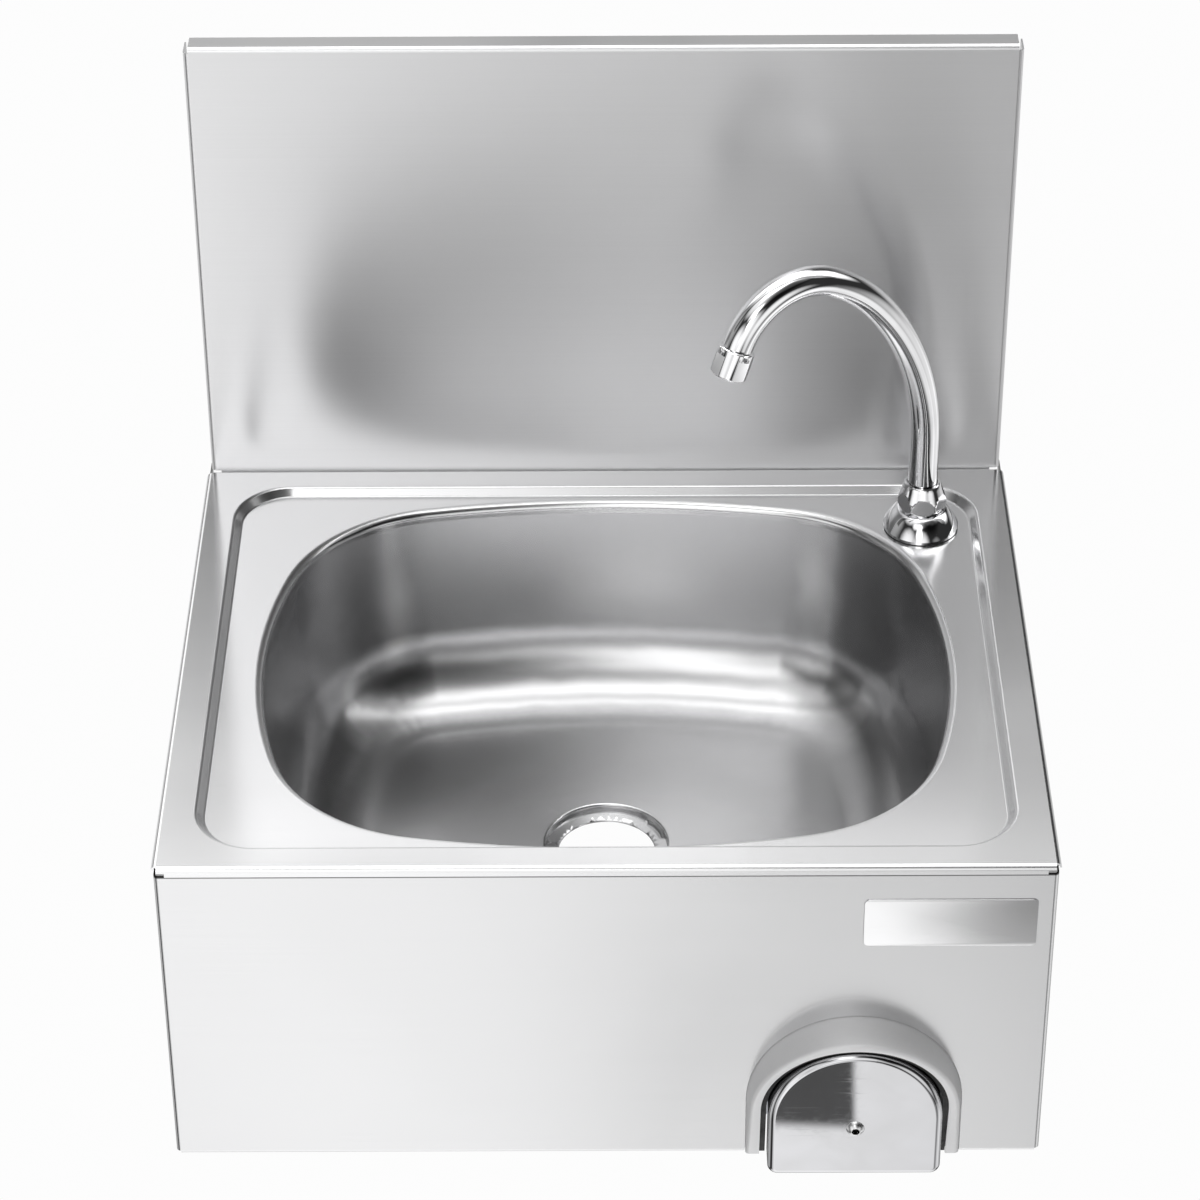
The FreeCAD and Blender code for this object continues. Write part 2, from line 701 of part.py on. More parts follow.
def is_on_slant(edge, plane_y, tilt):
    """True for the lip's side and top edges, and false for the one under the foot."""
    points = [edge.valueAt(edge.FirstParameter + (edge.LastParameter - edge.FirstParameter) * s)
              for s in (0.1, 0.5, 0.9)]
    near = all(abs(p.y - (plane_y - (p.z - bottom_z) * tilt)) < 0.01 for p in points)
    return near and points[1].z > bottom_z - 4


def make_knee_hood():
    t = hood_sheet
    core = hood_body(t)
    liner = arch_prism(hood_opening_radius + t, panel_y - 40, panel_y + 2 * t, bottom_z - 5)
    skin = hood_body(0).cut(core.cut(liner))
    back_y = panel_y + sheet
    flange = arch_prism(hood_radius + hood_flange, back_y, back_y + t, bottom_z + sheet)
    collar = arch_prism(hood_radius, panel_y, back_y, bottom_z)
    collar = collar.cut(arch_prism(hood_radius - t, panel_y - 1, back_y + 1, bottom_z - 5))
    hem_gap = box(knee_x - 2 * hood_radius, knee_x + 2 * hood_radius, back_y, back_y + 2 * t,
                  bottom_z - 5, bottom_z + apron_bend + 0.4)
    flange = flange.cut(hem_gap)
    throat = arch_prism(hood_opening_radius, panel_y - 60, back_y + 3 * t, bottom_z - 5)
    return fused([skin, collar, flange]).cut(throat)


# ---- knee pad ----
def pad_solid(inset, y0, y1):
    radius = pad_radius - inset
    solid = arch_prism(radius, y0, y1, bottom_z + inset, pad_corner - inset)
    edges = [e for e in solid.Edges if all(abs(v.Y - y0) < 0.001 for v in e.Vertexes)]
    return solid.makeFillet(pad_round - inset, edges)


def pad_face_y():
    return panel_y - pad_reach


def make_knee_pad():
    y0 = pad_face_y()
    y1 = y0 + pad_wall_depth
    t = pad_sheet
    shell = pad_solid(0, y0, y1).cut(pad_solid(t, y0 + t, y1 + 5))
    return shell.cut(cylinder(screw_shank + screw_play, 4 * t, knee_point(y0 - t), back))


def knee_point(y):
    return Vector(knee_x, y, valve_z)


def make_pad_screw():
    y = pad_face_y()
    r, h = screw_head_radius, screw_head_height
    dome_radius = (r * r + h * h) / (2 * h)
    dome = Part.makeSphere(dome_radius, knee_point(y - h + dome_radius))
    head = dome.common(cylinder(r, h, knee_point(y - h), back))
    shank = cylinder(screw_shank, screw_length, knee_point(y), back)
    socket = hexagon(screw_socket_across, screw_socket_depth, knee_point(y - h), back, 0)
    return fused([head, shank]).cut(socket)


def make_pad_plate():
    y = pad_face_y() + pad_sheet
    t = pad_plate_thickness
    plate = cylinder(pad_plate_radius, t, knee_point(y), back)
    return plate.cut(cylinder(screw_shank + screw_play, 3 * t, knee_point(y - t), back))


# ---- valve ----
def bracket_y():
    return panel_y + bracket_standoff


def make_valve_bracket():
    """A hat bracket behind the panel: its plate carries the valve and its feet take the studs."""
    t, r = bracket_sheet, bracket_bend
    half = bracket_width / 2
    z0, z1 = valve_z - bracket_height / 2, valve_z + bracket_height / 2
    z0 = max(z0, bottom_z + apron_bend + 1)
    foot_y = panel_y + sheet + hood_sheet + weld_gap
    y = bracket_y() + t
    height = z1 - z0
    pieces = [box(knee_x - half + r, knee_x + half - r, y - t, y, z0, z1)]
    leg = y - foot_y
    for side in (left, right):
        corner = Vector(knee_x + side.x * (half - r), y, z0)
        pieces.append(folded_edge(corner, side, front, up, height, r, leg - r, t))
        foot = Vector(knee_x + side.x * (half - t), foot_y + r, z0)
        pieces.append(folded_edge(foot, front, side, up, height, r, bracket_foot, t))
    bracket = fused(pieces)
    bracket = bracket.cut(cylinder(neck_radius + panel_gap, 4 * t, knee_point(y - 2 * t), back))
    for place in stud_places():
        bracket = bracket.cut(cylinder(stud_radius + stud_play, 20, place, back))
    return bracket


def stud_places():
    x = bracket_width / 2 - bracket_sheet + (bracket_foot + bracket_sheet) / 2 + 1
    z0 = max(valve_z - bracket_height / 2, bottom_z + apron_bend + 1)
    z1 = valve_z + bracket_height / 2
    return [Vector(knee_x + sx * x, panel_y + sheet, z)
            for sx in (-1, 1) for z in (z0 + stud_inset, z1 - stud_inset)]


def make_studs():
    length = hood_sheet + weld_gap + bracket_sheet + stud_end
    return group([cylinder(stud_radius, length, p, back) for p in stud_places()])


def make_stud_nuts():
    start = hood_sheet + weld_gap + bracket_sheet
    nuts = []
    for place in stud_places():
        base = place + back * start
        nut = hexagon(stud_nut_across, stud_nut_height, base, back).fuse(
            cylinder(stud_washer_radius, stud_washer_thickness, base, back))
        nuts.append(nut.removeSplitter().cut(cylinder(stud_radius, 10, base - back, back)))
    return group(nuts)


def body_y():
    """Front shoulder of the valve body, behind the bracket plate."""
    return bracket_y() + bracket_sheet


def make_valve_body():
    y = body_y()
    body = turned([(0, -neck_length), (neck_radius - 1, -neck_length), (neck_radius, 1 - neck_length),
                   (neck_radius, 0), (body_radius, 0), (body_radius, body_length - 5),
                   (body_radius - 3, body_length - 2), (inlet_boss_radius, body_length),
                   (inlet_boss_radius, body_length + outlet_shoulder),
                   (half_inch_radius, body_length + outlet_shoulder),
                   (half_inch_radius, body_length + outlet_shoulder + outlet_thread),
                   (0, body_length + outlet_shoulder + outlet_thread)], knee_point(y), back)
    inlet = cylinder(inlet_boss_radius, inlet_boss_length, Vector(knee_x, inlet_y(), valve_z), down)
    body = body.fuse(inlet)
    chamber = cylinder(chamber_radius, chamber_length, knee_point(y + chamber_start()), back)
    gland_hole = cylinder(gland_thread_radius(), chamber_start() + neck_length + 1,
                          knee_point(y - neck_length - 1), back)
    outlet = cylinder(half_inch_bore, body_length, knee_point(y + chamber_start()), back)
    port = cylinder(half_inch_bore, inlet_boss_length + 5, Vector(knee_x, inlet_y(), valve_z), down)
    return body.cut(chamber.fuse([gland_hole, outlet, port])).removeSplitter()


def chamber_start():
    return gland_length - neck_length


def gland_thread_radius():
    return neck_radius - neck_wall


def inlet_y():
    return body_y() + body_length - inlet_setback


def make_gland_nut():
    """Closes the neck and guides the rod."""
    y = body_y() - neck_length
    plug = cylinder(gland_thread_radius(), gland_length, knee_point(y), back)
    head = hexagon(gland_across, gland_head, knee_point(y - gland_head), back)
    hole = cylinder(rod_radius + running, 40, knee_point(y - 20), back)
    groove = cylinder(rod_radius + o_ring_wire + 0.2, 2 * o_ring_wire, knee_point(y + gland_length / 2), back)
    return fused([plug, head]).cut(hole.fuse(groove))


def make_rod_seal():
    y = body_y() - neck_length + gland_length / 2 + o_ring_wire
    return seal_ring(rod_radius + seal_play + o_ring_wire / 2, o_ring_wire, knee_point(y), back)


def make_valve_lock_nut():
    y = bracket_y() - lock_nut_height
    nut = hexagon(lock_nut_across, lock_nut_height, knee_point(y), back)
    return nut.cut(cylinder(neck_radius, 3 * lock_nut_height, knee_point(y - lock_nut_height), back))


def rod_shoulder_y():
    return pad_face_y() + pad_sheet + pad_plate_thickness


def piston_y():
    """Front face of the piston at rest, just behind the end of the gland."""
    return body_y() + chamber_start() + 0.5


def make_push_rod():
    start = rod_shoulder_y()
    rod = cylinder(rod_radius, piston_y() + 1 - start, knee_point(start), back)
    seat = cylinder(spring_radius + spring_wire + spring_seat_margin, spring_seat, knee_point(start), back)
    piston = cylinder(chamber_radius - piston_play, piston_length, knee_point(piston_y()), back)
    groove = ring(chamber_radius, chamber_radius - piston_groove_depth, piston_groove,
                  knee_point(piston_y() + (piston_length - piston_groove) / 2), back)
    thread = cylinder(screw_shank, screw_length, knee_point(start - 1), back)
    return fused([rod, seat, piston]).cut(groove.fuse(thread))


def make_piston_seal():
    start = piston_y() + (piston_length - piston_seal_width) / 2
    return ring(chamber_radius - seal_play, chamber_radius - piston_groove_depth, piston_seal_width,
                knee_point(start), back)


# ---- coil spring ----
def bi_arc(p0, t0, p1, t1):
    """Two arcs that leave p0 along t0 and reach p1 along t1."""
    v, t = p1 - p0, t0 + t1
    a, b, c = 2 * (1 - t0.dot(t1)), 2 * v.dot(t), -v.dot(v)
    d = (-b + math.sqrt(b * b - 4 * a * c)) / (2 * a)
    joint = (p0 + p1 + (t0 - t1) * d) * 0.5
    return [tangent_arc(p0, t0, joint), tangent_arc(p1, t1 * -1, joint, True)]


def tangent_arc(start, tangent, end, reverse=False):
    chord = end - start
    half = chord.Length / 2
    along = Vector(chord).normalize()
    side = tangent - along * tangent.dot(along)
    side.normalize()
    angle = tangent.getAngle(along)
    middle = start + chord * 0.5 + side * (half * math.tan(angle / 2))
    points = [end, middle, start] if reverse else [start, middle, end]
    return Part.Arc(*points).toShape()


def make_return_spring():
    """Between the shoulder of the rod and the gland nut, at rest."""
    wire_r = spring_wire / 2
    start = rod_shoulder_y() + spring_seat + wire_r + running
    end = body_y() - neck_length - gland_head - wire_r - running
    length = end - start
    steps = 4 * spring_turns
    quarter = math.pi / 2
    pitch = length / steps

    def point(i):
        a = i * quarter
        return Vector(knee_x + spring_radius * math.cos(a), start + pitch * i,
                      valve_z + spring_radius * math.sin(a))

    def tangent(i):
        a = i * quarter
        return Vector(-spring_radius * quarter * math.sin(a), pitch,
                      spring_radius * quarter * math.cos(a)).normalize()
    edges = []
    for i in range(steps):
        edges += bi_arc(point(i), tangent(i), point(i + 1), tangent(i + 1))
    path = Part.Wire(edges)
    # the wire's section has eight sides, one of them against the coil's axis
    outward, ahead = right, tangent(0)
    sideways = ahead.cross(outward)
    turns = [math.radians(a) for a in range(22, 382, 45)]
    corners = [point(0) + (outward * math.cos(a) + sideways * math.sin(a)) * wire_r for a in turns]
    section = Part.makePolygon(corners + [corners[0]])
    print("spring: gap between turns", round(4 * pitch - spring_wire, 2))
    return path.makePipeShell([section], True, False)


# ---- water inlet ----
def inlet_z():
    return valve_z - inlet_boss_length


def make_inlet_nipple():
    base = Vector(knee_x, inlet_y(), inlet_z())
    head = hexagon(inlet_hex_across, inlet_hex_height, base, down)
    tail = turned([(0, inlet_hex_height), (half_inch_radius, inlet_hex_height),
                   (half_inch_radius, inlet_hex_height + inlet_thread - 1),
                   (half_inch_radius - 0.6, inlet_hex_height + inlet_thread),
                   (0, inlet_hex_height + inlet_thread)], base, down)
    spigot = cylinder(half_inch_bore, 4.0, base, up)
    bore = cylinder(half_inch_bore - inlet_wall, 60, base + up * 20, down)
    seat = cylinder(half_inch_radius - strainer_rim, strainer_seat + 0.5,
                    base + down * (inlet_hex_height + inlet_thread - strainer_seat), down)
    return fused([head, tail, spigot]).cut(bore.fuse(seat))


def make_inlet_strainer():
    base = Vector(knee_x, inlet_y(), inlet_z() - inlet_hex_height - inlet_thread + strainer_seat)
    rim = half_inch_radius - strainer_rim
    cup = turned([(0, 0), (3.2, 0), (4.2, 3.6), (rim, 3.6), (rim, 4.6), (3.6, 4.6), (2.6, 1.0), (0, 1.0)],
                 base, down)
    return cup


def make_check_valve():
    base = Vector(knee_x, inlet_y(), inlet_z() + 2)
    r = half_inch_bore - inlet_wall
    return turned([(0, 0), (1.6, 0), (1.6, 3), (r - 0.6, 4), (r, 5), (r, 8), (r - 1.2, 8), (r - 1.6, 6),
                   (1.4, 5), (1.4, 7.4), (0, 7.4)], base, down)


# ---- tap ----
def tap_point(height):
    """A point on the tap's axis, that far above the plateau."""
    return Vector(tap_x, tap_y, plateau_z + height)


def make_tap_flange():
    """A domed rosette, hollow underneath, on its rubber ring."""
    r, h, rim, t = flange_radius, flange_height, flange_rim, flange_sheet
    top = cone_nut_low_radius + 1.2
    seal = flange_seal

    def dome(inset):
        outer, crown = r - inset, h - inset
        points = [(0, seal), (outer, seal), (outer, seal + rim)]
        steps = 8
        for i in range(1, steps + 1):
            s = i / steps
            points.append((outer + (top - outer) * s,
                           seal + rim + (crown - seal - rim) * (1 - (1 - s) ** 1.6)))
        points.append((0, crown))
        return turned(points, tap_point(0), up)
    hollow = dome(t).cut(cylinder(r, seal + 0.01, tap_point(0), up))
    floor_cut = cylinder(r - t, rim + 0.01, tap_point(seal - 0.01), up)
    bore = cylinder(half_inch_radius + thread_play, 3 * h, tap_point(-h), up)
    return dome(0).cut(hollow.fuse(floor_cut)).cut(bore)


def make_tap_flange_seal():
    outer = flange_radius - 0.4
    return ring(outer, outer - flange_seal_width, flange_seal, tap_point(0), up)


def nut_base():
    return flange_height


def shank_top():
    return nut_base() + shank_head


def make_tap_shank():
    """Hollow threaded tail from the cone nut down through the deck."""
    length = shank_top() + sheet + shank_length
    outer = cylinder(half_inch_radius, length, tap_point(shank_top()), down)
    bore = cylinder(spigot_radius + running, spigot_length + 1, tap_point(shank_top()), down)
    return outer.cut(bore).cut(cylinder(spigot_radius - 1.5, length, tap_point(shank_top()), down))


def make_cone_nut():
    base = nut_base()
    h = cone_nut_height
    cone = turned([(0, 0), (cone_nut_low_radius, 0), (cone_nut_wide_radius, cone_nut_wide - 3),
                   (cone_nut_wide_radius, cone_nut_wide), (cone_nut_top_radius, h - 0.8),
                   (cone_nut_top_radius - 0.8, h), (0, h)], tap_point(base), up)
    nut = hexagon(cone_nut_across, h, tap_point(base), up, 0).common(cone)
    thread = cylinder(half_inch_radius, shank_head, tap_point(base), up)
    cavity = cylinder(collar_radius + slip_clearance, cavity_height(), tap_point(shank_top()), up)
    hole = cylinder(pipe_radius + slip_clearance, 2 * h, tap_point(base), up)
    return nut.cut(thread.fuse([cavity, hole]))


def cavity_height():
    return collar_height + slip_ring_height + 2 * slip_clearance


def make_slip_ring():
    """Plastic ring between the spout's collar and the roof of the cone nut."""
    base = shank_top() + slip_clearance + collar_height + slip_clearance
    return ring(collar_radius + slip_clearance, pipe_radius + slip_clearance, slip_ring_height,
                tap_point(base), up)


def spout_start():
    return shank_top() + slip_clearance


def make_spout_spigot():
    """Turned foot of the spout: a collar in the nut and a sealed spigot in the shank."""
    start = spout_start()
    collar = cylinder(collar_radius, collar_height, tap_point(start), up)
    spigot = cylinder(spigot_radius, spigot_length, tap_point(start), down)
    socket = cylinder(pipe_radius - pipe_wall - 0.05, 8, tap_point(start + collar_height), up)
    solid = fused([collar, spigot, socket])
    for height in o_ring_heights():
        solid = solid.cut(ring(spigot_radius + 1, spigot_radius - o_ring_wire - 0.1, 1.5 * o_ring_wire,
                               tap_point(start - height - 0.75 * o_ring_wire), up))
    return solid.cut(cylinder(spigot_radius - 2.8, 60, tap_point(start - 30), up))


def o_ring_heights():
    return (4.5, 10.5)


def make_spout_o_rings():
    radius = spigot_radius - o_ring_wire / 2 - seal_play / 2
    return group([seal_ring(radius, o_ring_wire, tap_point(spout_start() - h), up)
                  for h in o_ring_heights()])


def spout_path():
    """The middle line of the spout, from its collar to its open end, and its last direction."""
    outward = Vector(-math.cos(math.radians(spout_turn)), -math.sin(math.radians(spout_turn)), 0)
    start = tap_point(spout_start() + collar_height)
    point = tap_point(spout_rise)
    edges = [Part.makeLine(start, point)]
    turn = 0.0
    for radius, degrees in spout_bends:
        centre = point + (outward * math.cos(turn) - up * math.sin(turn)) * radius

        def on_arc(angle):
            return centre - (outward * math.cos(angle) - up * math.sin(angle)) * radius
        end = turn + math.radians(degrees)
        edges.append(Part.Arc(point, on_arc((turn + end) / 2), on_arc(end)).toShape())
        point, turn = on_arc(end), end
    heading = outward * math.sin(turn) + up * math.cos(turn)
    tip = point + heading * spout_tail
    edges.append(Part.makeLine(point, tip))
    return Part.Wire(edges), start, tip, heading


def make_spout_pipe():
    path, start, tip, heading = spout_path()

    def tube(radius):
        return path.makePipeShell([Part.Wire([Part.makeCircle(radius, start, up)])], True, False)
    neck = cylinder(pipe_radius - 0.4, pipe_thread, tip, heading)
    bore = cylinder(pipe_radius - pipe_wall, pipe_thread + 1, tip - heading, heading)
    return fused([tube(pipe_radius), neck]).cut(tube(pipe_radius - pipe_wall).fuse(bore))


def make_aerator_housing():
    path, start, tip, heading = spout_path()
    r = aerator_radius
    sleeve = turned([(0, 0), (r - 0.8, 0), (r, 0.8), (r, aerator_length - 1.2),
                     (r - 1.2, aerator_length), (0, aerator_length)], tip, heading)
    outward = Vector(-math.cos(math.radians(spout_turn)), -math.sin(math.radians(spout_turn)), 0)
    side = heading.cross(outward)
    side.normalize()
    for way in (side, side * -1):
        for turn in (0, 90):
            facing = FreeCAD.Rotation(heading, turn).multVec(way)
            middle = tip + heading * (aerator_length / 2 + 2.2) + facing * (aerator_flats / 2 + 2)
            flat = Part.makeBox(4, 30, aerator_length - 4.6, Vector(-2, -15, -(aerator_length - 4.6) / 2))
            flat.Placement = FreeCAD.Placement(middle, frame_of(facing, heading))
            sleeve = sleeve.cut(flat)
    neck = cylinder(pipe_radius - 0.4, pipe_thread, tip, heading)
    chamber = cylinder(aerator_bore, aerator_length, tip + heading * pipe_thread, heading)
    outlet = cylinder(aerator_bore - aerator_lip, 2 * aerator_length, tip, heading)
    stop = tip + heading * (aerator_length - aerator_floor)
    chamber = chamber.cut(cylinder(2 * aerator_bore, 10, stop, heading))
    return sleeve.cut(neck.fuse([chamber, outlet]))


def frame_of(x_axis, z_axis):
    return FreeCAD.Rotation(x_axis, z_axis.cross(x_axis), z_axis, "XZY")


def make_aerator_washer():
    path, start, tip, heading = spout_path()
    base = tip + heading * pipe_thread
    return ring(aerator_bore, pipe_radius - 3, washer_thickness, base, heading)


def make_aerator_insert():
    """Cartridge with a ring of slots round a plain middle."""
    path, start, tip, heading = spout_path()
    base = tip + heading * (pipe_thread + washer_thickness)
    length = aerator_length - aerator_floor - pipe_thread - washer_thickness
    solid = cylinder(aerator_bore, length, base, heading)
    low = cylinder(aerator_bore - aerator_lip - 0.2, 1.0, base + heading * length, heading)
    solid = fused([solid, low])
    across = Vector(0, 0, 1).cross(heading)
    across.normalize()
    for i in range(8):
        facing = FreeCAD.Rotation(heading, 45 * i).multVec(across)
        hole = cylinder(1.3, 3.0, base + heading * (length - 1.5) + facing * 4.6, heading)
        solid = solid.cut(hole)
    return solid


# ---- what clamps the tap to the deck ----
def under_deck(depth):
    return tap_point(-sheet - depth)


def make_shank_rubber():
    return ring(backing_radius, half_inch_radius + thread_play, washer_thickness,
                under_deck(washer_thickness), up)


def make_shank_washer():
    return ring(backing_radius, half_inch_radius + thread_play, shank_washer,
                under_deck(washer_thickness + shank_washer), up)


def make_shank_nut():
    depth = washer_thickness + shank_washer + shank_nut_height
    nut = hexagon(shank_nut_across, shank_nut_height, under_deck(depth), up)
    return nut.cut(cylinder(half_inch_radius, 3 * shank_nut_height, under_deck(2 * depth), up))


# ---- hose from the valve to the tap ----
def outlet_end():
    return knee_point(body_y() + body_length + outlet_shoulder + outlet_thread)


def shank_end():
    return under_deck(shank_length)


def union_cavity():
    """Depth of the union nut over the thread."""
    return outlet_thread - 0.5


def union_nut(thread_end, direction):
    """A nut over a male thread; direction points from the thread into the hose."""
    base = thread_end - direction * union_cavity()
    nut = hexagon(hose_nut_across, hose_nut_height, base, direction)
    thread = cylinder(half_inch_radius, union_cavity() + hose_washer, base, direction)
    hole = cylinder(ferrule_radius, 2 * hose_nut_height, base, direction)
    return nut.cut(thread.fuse(hole))


def hose_ends():
    return [(outlet_end(), back), (shank_end(), down)]


def make_hose_nuts():
    return group([union_nut(end, way) for end, way in hose_ends()])


def make_hose_washers():
    return group([ring(half_inch_radius, hose_bore() + 1, hose_washer, end, way) for end, way in hose_ends()])


def hose_bore():
    return 4.0


def make_hose_ferrules():
    """Crimped sleeves on the ends of the hose, turned down where they grip it."""
    ferrules = []
    for end, way in hose_ends():
        base = end + way * hose_washer
        h = ferrule_length
        r = ferrule_radius
        solid = turned([(0, 0), (r, 0), (r, 0.35 * h), (r - 0.5, 0.4 * h), (r - 0.5, 0.6 * h),
                        (r, 0.65 * h), (r, h - 0.6), (r - 0.6, h), (0, h)], base, way)
        ferrules.append(solid.cut(cylinder(hose_bore(), 2 * h, base - way * h, way)))
    return group(ferrules)


def hose_points():
    """Corners of the hose's route: under the bowl and up behind its right rear corner."""
    start = outlet_end() + back * (hose_washer + ferrule_length)
    end = shank_end() + down * (hose_washer + ferrule_length)
    low = valve_z
    return [start, start + Vector(0, 44, 0), start + Vector(26, 100, -3),
            Vector(end.x - 5, end.y - 50, low + 1), Vector(end.x, end.y, low + 28), end]


def rounded_path(points):
    """Straight runs joined by tangent arcs, each as large as its two runs allow."""
    edges, here = [], points[0]
    for before, corner, after in zip(points, points[1:], points[2:]):
        one, two = before - corner, after - corner
        half_turn = (math.pi - one.getAngle(two)) / 2
        reach = 0.45 * min(one.Length, two.Length)
        print("hose bend radius", round(reach / math.tan(half_turn), 1))
        one.normalize()
        two.normalize()
        start, end = corner + one * reach, corner + two * reach
        middle = one + two
        middle.normalize()
        radius = reach / math.tan(half_turn)
        rise = math.hypot(radius, reach) - radius
        edges.append(Part.makeLine(here, start))
        edges.append(Part.Arc(start, corner + middle * rise, end).toShape())
        here = end
    edges.append(Part.makeLine(here, points[-1]))
    return Part.Wire(edges)


def make_hose():
    path = rounded_path(hose_points())

    def tube(radius):
        start = Part.Wire([Part.makeCircle(radius, hose_points()[0], back)])
        return path.makePipeShell([start], True, False)
    outer = tube(hose_radius)
    print("hose length", round(path.Length, 1), "volume share",
          round(outer.Volume / (math.pi * hose_radius ** 2 * path.Length), 4))
    return outer.cut(tube(hose_bore()))


makers = {
    "deck": make_deck, "bowl": make_bowl, "apron": make_apron, "backsplash": make_backsplash,
    "wall_rail": make_wall_rail, "rail_rivets": make_rivets, "knee_hood": make_knee_hood,
    "knee_pad": make_knee_pad, "pad_plate": make_pad_plate, "pad_screw": make_pad_screw,
    "push_rod": make_push_rod, "piston_seal": make_piston_seal, "return_spring": make_return_spring,
    "valve_bracket": make_valve_bracket, "bracket_studs": make_studs, "bracket_nuts": make_stud_nuts,
    "valve_body": make_valve_body, "gland_nut": make_gland_nut, "rod_seal": make_rod_seal,
    "valve_lock_nut": make_valve_lock_nut, "inlet_nipple": make_inlet_nipple,
    "inlet_strainer": make_inlet_strainer, "check_valve": make_check_valve,
    "tap_flange": make_tap_flange, "tap_flange_seal": make_tap_flange_seal, "tap_shank": make_tap_shank,
    "cone_nut": make_cone_nut, "slip_ring": make_slip_ring, "spout_pipe": make_spout_pipe,
    "spout_spigot": make_spout_spigot, "spout_o_rings": make_spout_o_rings,
    "aerator_housing": make_aerator_housing, "aerator_washer": make_aerator_washer,
    "aerator_insert": make_aerator_insert, "shank_rubber": make_shank_rubber,
    "shank_washer": make_shank_washer, "shank_nut": make_shank_nut, "hose": make_hose,
    "hose_nuts": make_hose_nuts, "hose_washers": make_hose_washers, "hose_ferrules": make_hose_ferrules,
}
for name, maker in makers.items():
    save(maker(), name)
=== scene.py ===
import json
import math
import bpy
from mathutils import Matrix, Vector

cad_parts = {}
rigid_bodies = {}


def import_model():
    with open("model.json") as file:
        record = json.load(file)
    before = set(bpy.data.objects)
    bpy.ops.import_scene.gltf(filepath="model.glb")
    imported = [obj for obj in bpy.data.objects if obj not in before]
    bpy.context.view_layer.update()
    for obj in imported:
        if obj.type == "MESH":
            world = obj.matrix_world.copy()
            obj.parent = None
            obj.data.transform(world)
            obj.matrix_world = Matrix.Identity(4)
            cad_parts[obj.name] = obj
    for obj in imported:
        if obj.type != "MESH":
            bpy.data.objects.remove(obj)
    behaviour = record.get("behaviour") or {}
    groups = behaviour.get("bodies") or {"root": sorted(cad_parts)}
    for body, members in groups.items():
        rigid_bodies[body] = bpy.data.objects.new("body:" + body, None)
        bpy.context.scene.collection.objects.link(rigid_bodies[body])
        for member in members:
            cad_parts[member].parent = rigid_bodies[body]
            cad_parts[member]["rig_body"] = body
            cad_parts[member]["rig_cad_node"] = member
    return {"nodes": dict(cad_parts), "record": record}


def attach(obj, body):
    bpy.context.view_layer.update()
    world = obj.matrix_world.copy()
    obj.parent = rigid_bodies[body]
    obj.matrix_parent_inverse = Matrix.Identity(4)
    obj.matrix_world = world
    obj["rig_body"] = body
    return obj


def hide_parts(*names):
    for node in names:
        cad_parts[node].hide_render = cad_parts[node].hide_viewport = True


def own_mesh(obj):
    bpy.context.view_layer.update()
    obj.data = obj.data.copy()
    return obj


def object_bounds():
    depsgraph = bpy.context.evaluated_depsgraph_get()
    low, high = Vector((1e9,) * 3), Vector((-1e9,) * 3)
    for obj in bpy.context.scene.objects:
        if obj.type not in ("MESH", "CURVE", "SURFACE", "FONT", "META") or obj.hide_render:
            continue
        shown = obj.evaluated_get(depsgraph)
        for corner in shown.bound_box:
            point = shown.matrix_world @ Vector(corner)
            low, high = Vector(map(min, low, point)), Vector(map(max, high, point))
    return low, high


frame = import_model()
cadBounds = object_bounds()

print("frame loaded:", len(frame["nodes"]), "nodes")

# the camera stands in front of the basin and looks down into the bowl
camera = {
    "place": (0.0034, -2.146, 1.421),
    "tilt": 0.6107,         # below the horizon, radians
    "turn": -0.0034,        # to the right of straight ahead
    "roll": -0.0059,
    "focal": 121.4,         # mm
    "sensor": 36,           # mm
    "farClip": 50,          # m
}


def makeCamera():
    tilt, turn, roll = camera["tilt"], camera["turn"], camera["roll"]
    ahead = Vector((math.sin(turn) * math.cos(tilt), math.cos(turn) * math.cos(tilt), -math.sin(tilt)))
    side = Vector((math.cos(turn), -math.sin(turn), 0))
    over = side.cross(ahead)
    rolledSide = side * math.cos(roll) + over * math.sin(roll)
    rolledOver = over * math.cos(roll) - side * math.sin(roll)
    bpy.ops.object.camera_add(location=camera["place"])
    cam = bpy.context.object
    cam.rotation_euler = Matrix((rolledSide, rolledOver, -ahead)).transposed().to_euler()
    cam.data.lens = camera["focal"]
    cam.data.sensor_width = camera["sensor"]
    cam.data.clip_end = camera["farClip"]
    bpy.context.scene.camera = cam


makeCamera()
print("camera made")


# shader effects that several finishes share
def newGroup(name, inputs, outputs):
    group = bpy.data.node_groups.new(name, "ShaderNodeTree")
    for label, value in inputs.items():
        socket = group.interface.new_socket(name=label, in_out="INPUT", socket_type="NodeSocketFloat")
        socket.default_value = value
    for label, kind in outputs.items():
        group.interface.new_socket(name=label, in_out="OUTPUT", socket_type="NodeSocket" + kind)
    return group, group.nodes.new("NodeGroupInput"), group.nodes.new("NodeGroupOutput")


def addNode(tree, kind, links=None, **values):
    node = tree.nodes.new(kind)
    for key, value in values.items():
        setattr(node, key, value)
    for socket, source in (links or {}).items():
        if isinstance(source, bpy.types.NodeSocket):
            tree.links.new(source, node.inputs[socket])
        else:
            node.inputs[socket].default_value = source
    return node


def mathNode(tree, operation, a, b=0.0):
    return addNode(tree, "ShaderNodeMath", {0: a, 1: b}, operation=operation).outputs[0]


def vectorNode(tree, operation, a, b=(0, 0, 0)):
    return addNode(tree, "ShaderNodeVectorMath", {0: a, 1: b}, operation=operation)


def spread(tree, value, low, high, newLow=0.0, newHigh=1.0):
    return addNode(tree, "ShaderNodeMapRange",
                   {"Value": value, "From Min": low, "From Max": high,
                    "To Min": newLow, "To Max": newHigh}).outputs["Result"]


